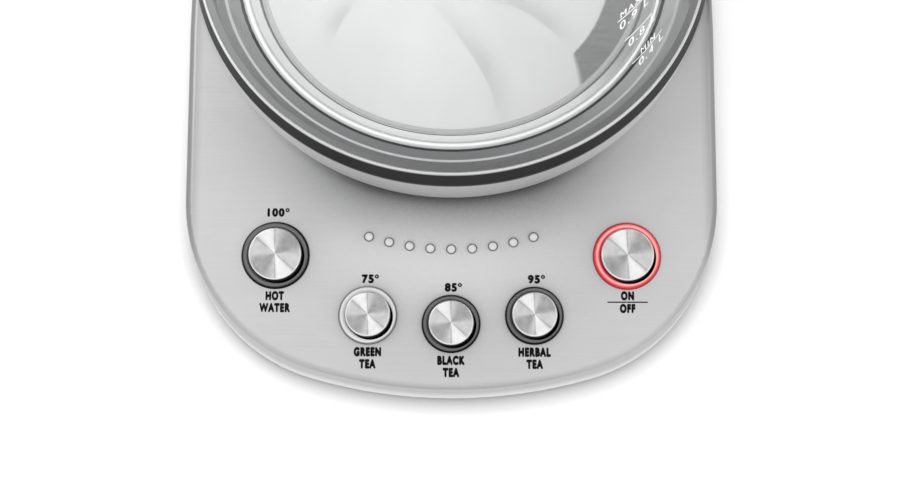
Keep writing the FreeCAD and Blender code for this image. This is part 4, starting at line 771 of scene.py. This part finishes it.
def make_pedestal():
    """Ring and the deck inside it.

    The ring's foot follows the cover: z is the profile's height or the cover's, whichever is higher.
    """
    outside, _, top = round_piece("pedestal_ring")
    inside, bore, foot, flange = outside - 2.0, outside - 5.2, LEVEL - 14, LEVEL + 1.2
    profile = [(bore, LEVEL), (inside, LEVEL), (inside, foot), (outside, foot), (outside, top, 0.7),
               (inside, top, 0.3), (inside, flange), (bore, flange, 0.3)]
    thing = turned("pedestal_ring_skin", profile, RING_STEEL, "base", ["pedestal_ring"])
    points = get_places(thing.data)
    points[:, 2] = np.maximum(points[:, 2], cover_height(points[:, 0] / MM, points[:, 1] / MM) * MM)
    set_places(thing.data, points)

    lip, _, rim_top = round_piece("pedestal_deck")
    rim, shelf, well, well_floor, neck = lip - 1.2, 27.0, 63.0, 10.3, 14.0
    under, outer, bottom = shelf - 2.5, well + 2.5, well_floor - 2
    profile = [(neck, bottom), (outer, bottom), (outer, under), (lip, under), (lip, rim_top),
               (rim, rim_top), (rim, shelf, 0.6), (well, shelf, 1.0), (well, well_floor, 1.0),
               (neck, well_floor, 0.3)]
    turned("pedestal_deck_skin", profile, BLACK_GLOSS, "base", ["pedestal_deck"])


# ---------------------------------------------------------------- keys

RING_FLOOR = -3.4                            # top of the floor under each key, off the panel
STEM_BORE = 2.7                              # radius of the hole for the plunger's stem
CAP_GAP = 0.12                               # between a cap and its ring


def make_key(name):
    """Domed light ring with its flange and floor, and the spun cap in it. Heights are off the panel."""
    place = panel_place(name)
    flange, cap = half_width(name + "_ring"), half_width(name + "_cap")
    outer, bore, under = flange - 1.2, cap + CAP_GAP, RING_FLOOR - 0.8
    wall = outer - 0.45
    slot, *colours = BRIGHT_RINGS.get(name, DARK_RING)
    finish = halo(name + "_halo", place, bore * MM, outer * MM, *colours)
    SLOT_OF[finish.name] = slot
    profile = [(STEM_BORE, under), (wall, under), (wall, -2.7), (flange, -2.7), (flange, -1.5),
               (outer, -1.5), (outer, 0.55, 0.5), (outer - 0.55, 0.95, 0.5), (bore + 0.7, 0.8, 0.4),
               (bore, 0.5, 0.2), (bore, RING_FLOOR, 0.2), (STEM_BORE, RING_FLOOR)]
    turned(name + "_ring_skin", profile, finish, "base", [name + "_ring"], place, KEY_AROUND)

    face = spun(name + "_spun", place, cap * MM, grey(0.72))
    SLOT_OF[face.name] = "brushed_steel"
    inside, low, ceiling, top = cap - 0.8, 0.5, 2.0, 3.2
    profile = [(0, ceiling), (inside, ceiling, 0.3), (inside, low), (cap, low, 0.1), (cap, 2.85, 0.25),
               (cap - 0.35, top, 0.12), (0, top)]
    turned(name + "_cap_skin", profile, face, name + "_key", [name + "_cap"], place, KEY_AROUND)
    coloured(BLACK_SATIN, name + "_plunger")


SPRING_RADIUS, SPRING_WIRE, SPRING_TURNS = 4.6, 0.25, 2.5    # the wire by its radius
SPRING_LOW, SPRING_HIGH = RING_FLOOR, -0.6   # from the ring's floor up to the plunger
SPRING_STEPS = 110


def make_springs():
    """Coils between each ring's floor and its plunger.

    The helix climbs evenly: (r cos a, r sin a, low + a/last * height). The wire's section is a circle in
    the plane of the outward and upward directions, and the two ends close on the wire's middle.
    """
    turn = np.linspace(0, SPRING_TURNS * 2 * math.pi, SPRING_STEPS)[:, None]
    section = np.linspace(0, 2 * math.pi, 10, endpoint=False)
    thick = np.full((SPRING_STEPS, 1), SPRING_WIRE)
    thick[[0, -1]] = 0
    reach = SPRING_RADIUS + thick * np.cos(section)
    climb = SPRING_HIGH - SPRING_LOW - 2 * SPRING_WIRE
    height = SPRING_LOW + SPRING_WIRE + turn / turn[-1] * climb + thick * np.sin(section)
    coil = np.stack([reach * np.cos(turn), reach * np.sin(turn), height], axis=-1) * MM
    for name in KEY_NAMES:
        x, v = panel_place(name)
        mesh = grid_mesh(name + "_spring_skin", on_panel(coil + (x, v, 0)), close_across=False)
        thing = piece(name + "_spring_skin", mesh, SCREW_STEEL, None, ["key_springs"])
        ends = on_panel(np.array([[x, v, SPRING_LOW * MM], [x, v, SPRING_HIGH * MM]]))
        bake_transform(thing)


# ---------------------------------------------------------------- printed words and numbers

LETTER_SPACE = 1.24


def flat_text(name, text, bold):
    """Mesh of a word, one unit of capital height, its middle at the origin.

    Heavier strokes come from copies moved by bold in eight directions. The word is then made smaller,
    so that its capitals keep their height.
    """
    curve = bpy.data.curves.new(name, "FONT")
    curve.body = text
    curve.align_x = "CENTER"
    curve.space_character = LETTER_SPACE
    flat = bpy.data.objects.new(name + "_text", curve)
    source = bpy.data.meshes.new_from_object(flat)
    bpy.data.objects.remove(flat)
    bpy.data.curves.remove(curve)
    points = get_places(source)
    low, high = points.min(axis=0), points.max(axis=0)
    points = (points - (low + high) / 2) / (high[1] - low[1])
    moves = [(0, 0, 0)] + [(bold * math.cos(turn), bold * math.sin(turn), 0)
                           for turn in np.arange(8) * math.pi / 4]
    faces = [[corner + count * len(points) for corner in face.vertices]
             for count in range(len(moves)) for face in source.polygons]
    points = np.concatenate([points + move for move in moves]) / (1 + 2 * bold)
    mesh = bpy.data.meshes.new(name)
    mesh.from_pydata(points, [], faces)
    bpy.data.meshes.remove(source)
    return mesh, points


INK_LIFT = 0.03 * MM
LABEL_HEIGHT = 3.05 * MM
NUMBER_HEIGHT = 2.85 * MM
DEGREE_RING, DEGREE_STEPS = (0.24, 0.66), 32  # inner and outer radius, and steps round it

# number above each key, how far above, how far the first word is below, and the words
LABELS = {
    "hot_water": ("100", 14.05, 13.15, ("HOT", "WATER")),
    "green_tea": ("75", 11.8, 11.75, ("GREEN", "TEA")),
    "black_tea": ("85", 11.8, 11.75, ("BLACK", "TEA")),
    "herbal_tea": ("95", 11.8, 11.75, ("HERBAL", "TEA")),
    "power": (None, 0.0, 12.92, ("ON", "OFF")),
}
WORD_STEP = 3.87
POWER_STEP = 4.1                             # room for the bar between the two words
BAR_BELOW, BAR_HALF, BAR_THICK = 14.98, 6.45, 0.2


def printed(name, text, place, size, squeeze=0.68, bold=0.12):
    """Words on the panel, as high as size, squeezed across and thickened. Returns half their width."""
    mesh, points = flat_text(name, text, bold)
    local = points * (size * squeeze, size, 0) + (place[0], place[1], INK_LIFT)
    piece(name, set_places(mesh, on_panel(local)), INK, "base")
    return points[:, 0].max() * size * squeeze


def degree_sign(name, place):
    """Small flat ring: (x + r cos a, y + r sin a) for two radii r."""
    turn = np.linspace(0, 2 * math.pi, DEGREE_STEPS, endpoint=False)
    reach = np.array(DEGREE_RING)[:, None] * MM
    local = np.stack([place[0] + reach * np.cos(turn), place[1] + reach * np.sin(turn),
                      np.full((2, DEGREE_STEPS), INK_LIFT)], axis=-1)
    piece(name, grid_mesh(name, on_panel(local), close_across=False), INK, "base")


def number_label(name, number, x, v):
    """A number of degrees with its sign, round (x, v)."""
    left = x - 0.1 * MM
    half = printed(name + "_number", number, (left, v), NUMBER_HEIGHT, 0.98, 0.095)
    sign = (left + half + 0.95 * MM, v + NUMBER_HEIGHT / 2 - DEGREE_RING[1] * MM)
    degree_sign(name + "_degree", sign)


def power_bar():
    """Thin bar between the power key's two words."""
    x, v = panel_place("power")
    bar, half, thick = v - BAR_BELOW * MM, BAR_HALF * MM, BAR_THICK * MM
    corners = on_panel(np.array([[x + side * half, bar + rise * thick, INK_LIFT]
                                 for side, rise in ((-1, -1), (1, -1), (1, 1), (-1, 1))]))
    mesh = bpy.data.meshes.new("power_bar")
    mesh.from_pydata(corners, [], [(0, 1, 2, 3)])
    piece("power_bar", mesh, INK, "base")


def make_labels():
    """Number above and two words under each key."""
    for name, (number, above, below, words) in LABELS.items():
        x, v = panel_place(name)
        if number:
            number_label(name, number, x, v + above * MM)
        step = POWER_STEP if name == "power" else WORD_STEP
        for row, word in enumerate(words):
            printed(f"{name}_word_{row + 1}", word, (x, v - (below + row * step) * MM), LABEL_HEIGHT)
    power_bar()


# ---------------------------------------------------------------- jug

def on_glass(points):
    """Along the tangent, up the wall and off it, from an azimuth and height: x = r cos a, y = r sin a."""
    angle, height, off = points.T
    radius = glass_radius(height) + off
    return np.stack([radius * np.cos(angle), radius * np.sin(angle), height], axis=-1) * MM


# volume marks: height of the line, azimuths of its two ends, words above it and under it
MARKS = {
    "mark_low": (60.9, (-44.4, -33.2), "MIN", "0.4 L"),
    "mark_middle": (78.8, (-46.9, -37.4), None, "0.8 L"),
    "mark_high": (93.0, (-49.0, -40.6), "MAX", "0.9 L"),
}
# words above and under the line: rise in mm, turn round the glass in degrees and share of the size
MARK_WORDS = ((2.3, 0.0, 0.7), (-3.6, 1.3, 1.0))
MARK_SIZE, MARK_TALL = 3.7, 4.6              # scale of the words along the tangent and up the wall
MARK_OFF, MARK_HALF = 0.04, 0.32             # off the glass, and half the thickness of a line
MARK_STEPS = 12


def mark_line(name, height, ends):
    """Strip along the glass between two azimuths."""
    steps = np.linspace(*ends, MARK_STEPS)
    off = np.full(MARK_STEPS, MARK_OFF)
    sides = [np.stack([steps, np.full(MARK_STEPS, height + side), off], axis=-1)
             for side in (-MARK_HALF, MARK_HALF)]
    places = on_glass(np.concatenate(sides)).reshape(2, MARK_STEPS, 3)
    piece(name, grid_mesh(name, places, False, False), WHITE_INK, "jug")


def mark_word(name, word, height, rise, middle, share):
    """A word bent round the glass, its middle at an azimuth and the line's height plus a rise."""
    mesh, points = flat_text(name, word, 0.012)
    around = middle + points[:, 0] * MARK_SIZE * share / glass_radius(height)
    tall = height + rise + points[:, 1] * MARK_TALL * share
    places = on_glass(np.stack([around, tall, np.full(len(points), MARK_OFF)], axis=-1))
    piece(name, set_places(mesh, places), WHITE_INK, "jug")


def make_marks():
    """Volume marks on the glass: a line each, with its words."""
    for name, (height, ends, *words) in MARKS.items():
        ends = np.radians(ends)
        mark_line(name, height, ends)
        for word, part, (rise, turn, share) in zip(words, ("_upper", "_lower"), MARK_WORDS):
            if word:
                middle = np.mean(ends) + math.radians(turn)
                mark_word(name + part, word, height, rise, middle, share)


def make_floor():
    """Heated plate with its crowned edge, the seal round it and the grey collar out to the glass."""
    plate, plate_low, crown = round_piece("floor_plate")
    top, wide = crown - 2.5, 5.6
    bead, groove = plate - wide, crown - 3.0
    profile = [
        (0, plate_low), (plate, plate_low), (plate, crown - 0.5, 0.3), (plate - 0.1 * wide, crown, 0.6),
        (plate - 0.4 * wide, crown, 1.2), (bead + 0.25 * wide, crown - 0.6, 0.9),
        (bead + 0.05 * wide, top + 0.7, 0.4), (bead, top, 0.2), (bead - 0.2, top, 0.1),
        (bead - 0.4, groove, 0.15), (bead - 0.8, groove, 0.15), (bead - 1.0, top, 0.1), (0, top)]
    turned("floor_plate_skin", profile, FLOOR, "jug", ["floor_plate"])

    seal, seal_low, _ = round_piece("plate_seal")
    profile = [(plate, seal_low), (seal, seal_low), (seal, crown - 0.3, 0.2), (plate, crown - 0.5, 0.2)]
    turned("plate_seal_skin", profile, SEAL_DARK, "jug", ["plate_seal"])

    outside, _, rim = round_piece("floor_collar")
    step, flat, thick, ridge, lift = seal + 3.7, outside - 3.8, 0.8, rim - 0.9, 0.3
    profile = [
        (seal, crown - thick), (step, ridge - thick), (flat, rim - thick), (outside, rim - thick),
        (outside, rim), (flat, rim, 0.3), (step + 0.6, ridge + lift, 0.2), (step, ridge + lift, 0.15),
        (step - 0.3, ridge, 0.15), (seal, crown, 0.2)]
    turned("floor_collar_skin", profile, COLLAR_STEEL, "jug", ["floor_collar"])

    inside, lip, lip_top = FOOT_RADIUS - 2.8, outside - 0.5, JUG_FOOT + 1.5
    profile = [(inside, rim), (outside, rim), (outside, lip_top, 0.2), (lip, lip_top, 0.2),
               (lip, JUG_FOOT), (inside, JUG_FOOT, 0.2)]
    turned("glass_seal_skin", profile, COLLAR_STEEL, "jug", ["glass_seal"])


def make_skirt():
    """Black skirt that narrows upwards, with the hub under it, and the bright bead on its rim."""
    outside, hub_low, top = round_piece("jug_skirt")
    low, upper, under, seat = 35.5, outside - 1.3, 27.3, 34.0
    hub_bore, hub, seat_side, lip = 60, 62, 79.4, 82.9
    seal, step, flat = 71.8, 75.5, 78.2
    inner, shelf, ledge, seal_floor, hub_top = upper - 2.1, 35.1, 34.2, 32.7, 29.5
    profile = [
        (hub_bore, hub_low), (hub, hub_low), (hub, under, 0.8), (seat_side, under, 0.5),
        (seat_side, seat, 0.3), (lip, seat), (lip, low), (outside, low, 0.3), (upper, top, 0.15),
        (inner, top), (inner, shelf), (flat, shelf), (step, ledge), (seal, seal_floor), (seal, hub_top),
        (hub_bore, hub_top)]
    turned("jug_skirt_skin", profile, SKIRT_BLACK, "jug", ["jug_skirt"])

    glass, sill, inside = glass_radius(top) + 0.3, top + 0.4, upper - 1.0
    profile = [
        (glass, top), (upper, top), (upper, top + 0.7, 0.3), (upper - 0.3, top + 1.1, 0.3),
        (upper - 0.5, top + 1.2, 0.2), (inside, top + 0.9, 0.3), (inside, sill), (glass, sill)]
    turned("rim_ring_skin", profile, RIM_STEEL, "jug", ["rim_ring"])


def make_jug():
    """Glass with its foot and marks, the lift in it, the basket, the lid and the handle."""
    profile = [(FOOT_RADIUS - GLASS_WALL, JUG_FOOT, 0.6), (FOOT_RADIUS, JUG_FOOT, 0.8),
               (TOP_RADIUS, JUG_TOP, 1.1), (TOP_RADIUS - GLASS_WALL, JUG_TOP, 1.1)]
    turned("jug_glass_skin", profile, GLASS, "jug", ["jug_glass"], sharp=60)
    make_skirt()
    make_floor()
    make_marks()
    coloured(BLACK_SATIN, "jug_bottom_cover", "jug_socket")
    coloured(SCREW_STEEL, "jug_screws", "lift_screw", "lift_motor")
    coloured(ALUMINIUM, "heat_spreader")
    coloured(SHEATH, "heating_element")
    coloured(BRASS, "temperature_sensor")
    coloured(MAGNET, "magnet_nut", "carriage_magnet")
    dressed("lift_post", STEEL_PARTS)
    dressed("basket_carriage", BLACK_GLOSS)
    dressed("tea_basket", STEEL_PARTS)
    dressed("basket_lid", STEEL_PARTS)
    dressed("spout_band", BAND_STEEL)
    dressed("lid_shell", BAND_STEEL)
    dressed("lid_plug", BLACK_SATIN)
    dressed("lid_seal", SILICONE)
    dressed("lid_knob", BLACK_GLOSS)
    dressed("handle_grip", GRIP_BLACK, 50)


# ---------------------------------------------------------------- stage, lamps and camera

def ray_kinds(tree):
    """Wires that are 1 for rays from the camera, for reflected rays and for rays through glass."""
    paths = tree.nodes.new("ShaderNodeLightPath")
    kinds = ("Is Camera Ray", "Is Glossy Ray", "Is Transmission Ray")
    return [Wire(tree, paths.outputs[kind]) for kind in kinds]


def make_stage():
    """White table with a painted shadow close under the part."""
    mesh = bpy.data.meshes.new("floor")
    reach = 6.0
    mesh.from_pydata([(-reach, -reach, 0), (reach, -reach, 0), (reach, reach, 0), (-reach, reach, 0)],
                     [], [(0, 1, 2, 3)])
    floor = bpy.data.objects.new("floor", mesh)
    bpy.context.scene.collection.objects.link(floor)
    finish = Finish("white_floor")
    diffuse = finish.node("BsdfDiffuse", Color=(0.76, 0.76, 0.76))
    camera, glossy, through = ray_kinds(finish.tree)
    # painted shadow: the table's glow seen by the camera fades where ambient occlusion finds little open
    # sky
    open_sky = finish.node("AmbientOcclusion", {"samples": 12}, 1, Distance=0.013)
    seen = camera * open_sky.step(0.4, 0.96) * 0.5 + glossy * 0.15 + through * 0.35
    glow = finish.node("Emission", Color=(1, 1, 1), Strength=seen)
    total = finish.tree.nodes.new("ShaderNodeAddShader")
    finish.tree.links.new(diffuse.socket, total.inputs[0])
    finish.tree.links.new(glow.socket, total.inputs[1])
    finish.tree.links.new(total.outputs[0], finish.output.inputs["Surface"])
    floor.data.materials.append(finish.material)


def make_world():
    """White studio whose light comes mostly from above: strength rises from the horizon up."""
    world = bpy.data.worlds.new("studio")
    bpy.context.scene.world = world
    world.use_nodes = True
    tree = world.node_tree
    tree.nodes.clear()
    camera, glossy, through = ray_kinds(tree)
    coordinates = tree.nodes.new("ShaderNodeTexCoord")
    parts = tree.nodes.new("ShaderNodeSeparateXYZ")
    tree.links.new(coordinates.outputs["Generated"], parts.inputs[0])
    height = Wire(tree, parts.outputs[2])
    studio = height.step(-0.1, 0.75) * 0.2 + 0.8
    background = tree.nodes.new("ShaderNodeBackground")
    plug(tree, background.inputs["Color"], (1.0, 1.0, 1.0))
    plug(tree, background.inputs["Strength"], studio * (1 - camera) + camera)
    output = tree.nodes.new("ShaderNodeOutputWorld")
    tree.links.new(background.outputs[0], output.inputs["Surface"])


def lamp(name, place, target, size, power):
    """Round lamp of a size in metres and a power in watts, turned to a target."""
    light = bpy.data.lights.new(name, "AREA")
    light.shape = "DISK"
    light.size = size
    light.energy = power
    thing = bpy.data.objects.new(name, light)
    bpy.context.scene.collection.objects.link(thing)
    thing.location = place
    thing.rotation_euler = (Vector(target) - Vector(place)).to_track_quat("-Z", "Y").to_euler()
    return thing


def make_camera():
    """Camera that looks down on the front of the panel."""
    camera = bpy.data.cameras.new("camera")
    camera.sensor_width = 36.0
    camera.lens = 80.0
    camera.clip_start = 0.01
    thing = bpy.data.objects.new("camera", camera)
    bpy.context.scene.collection.objects.link(thing)
    aim = Vector((-0.4, -102.94, 21.3)) * MM
    elevation, turn, distance = math.radians(70.5), math.radians(0.15), 642 * MM
    level = math.cos(elevation)
    away = Vector((level * math.sin(turn), -level * math.cos(turn), math.sin(elevation)))
    thing.location = aim + away * distance
    thing.rotation_euler = (math.pi / 2 - elevation, 0, turn)
    bpy.context.scene.camera = thing


make_base()
for key in KEY_NAMES:
    make_key(key)
dressed("status_lenses", LENS, 40)
make_springs()
make_labels()
make_jug()
make_stage()
make_world()
lamp("key_lamp", (-0.55, 0.35, 0.9), (0, -0.05, 0.03), 0.5, 1.2)
make_camera()

bpy.context.scene.view_settings.view_transform = "Standard"
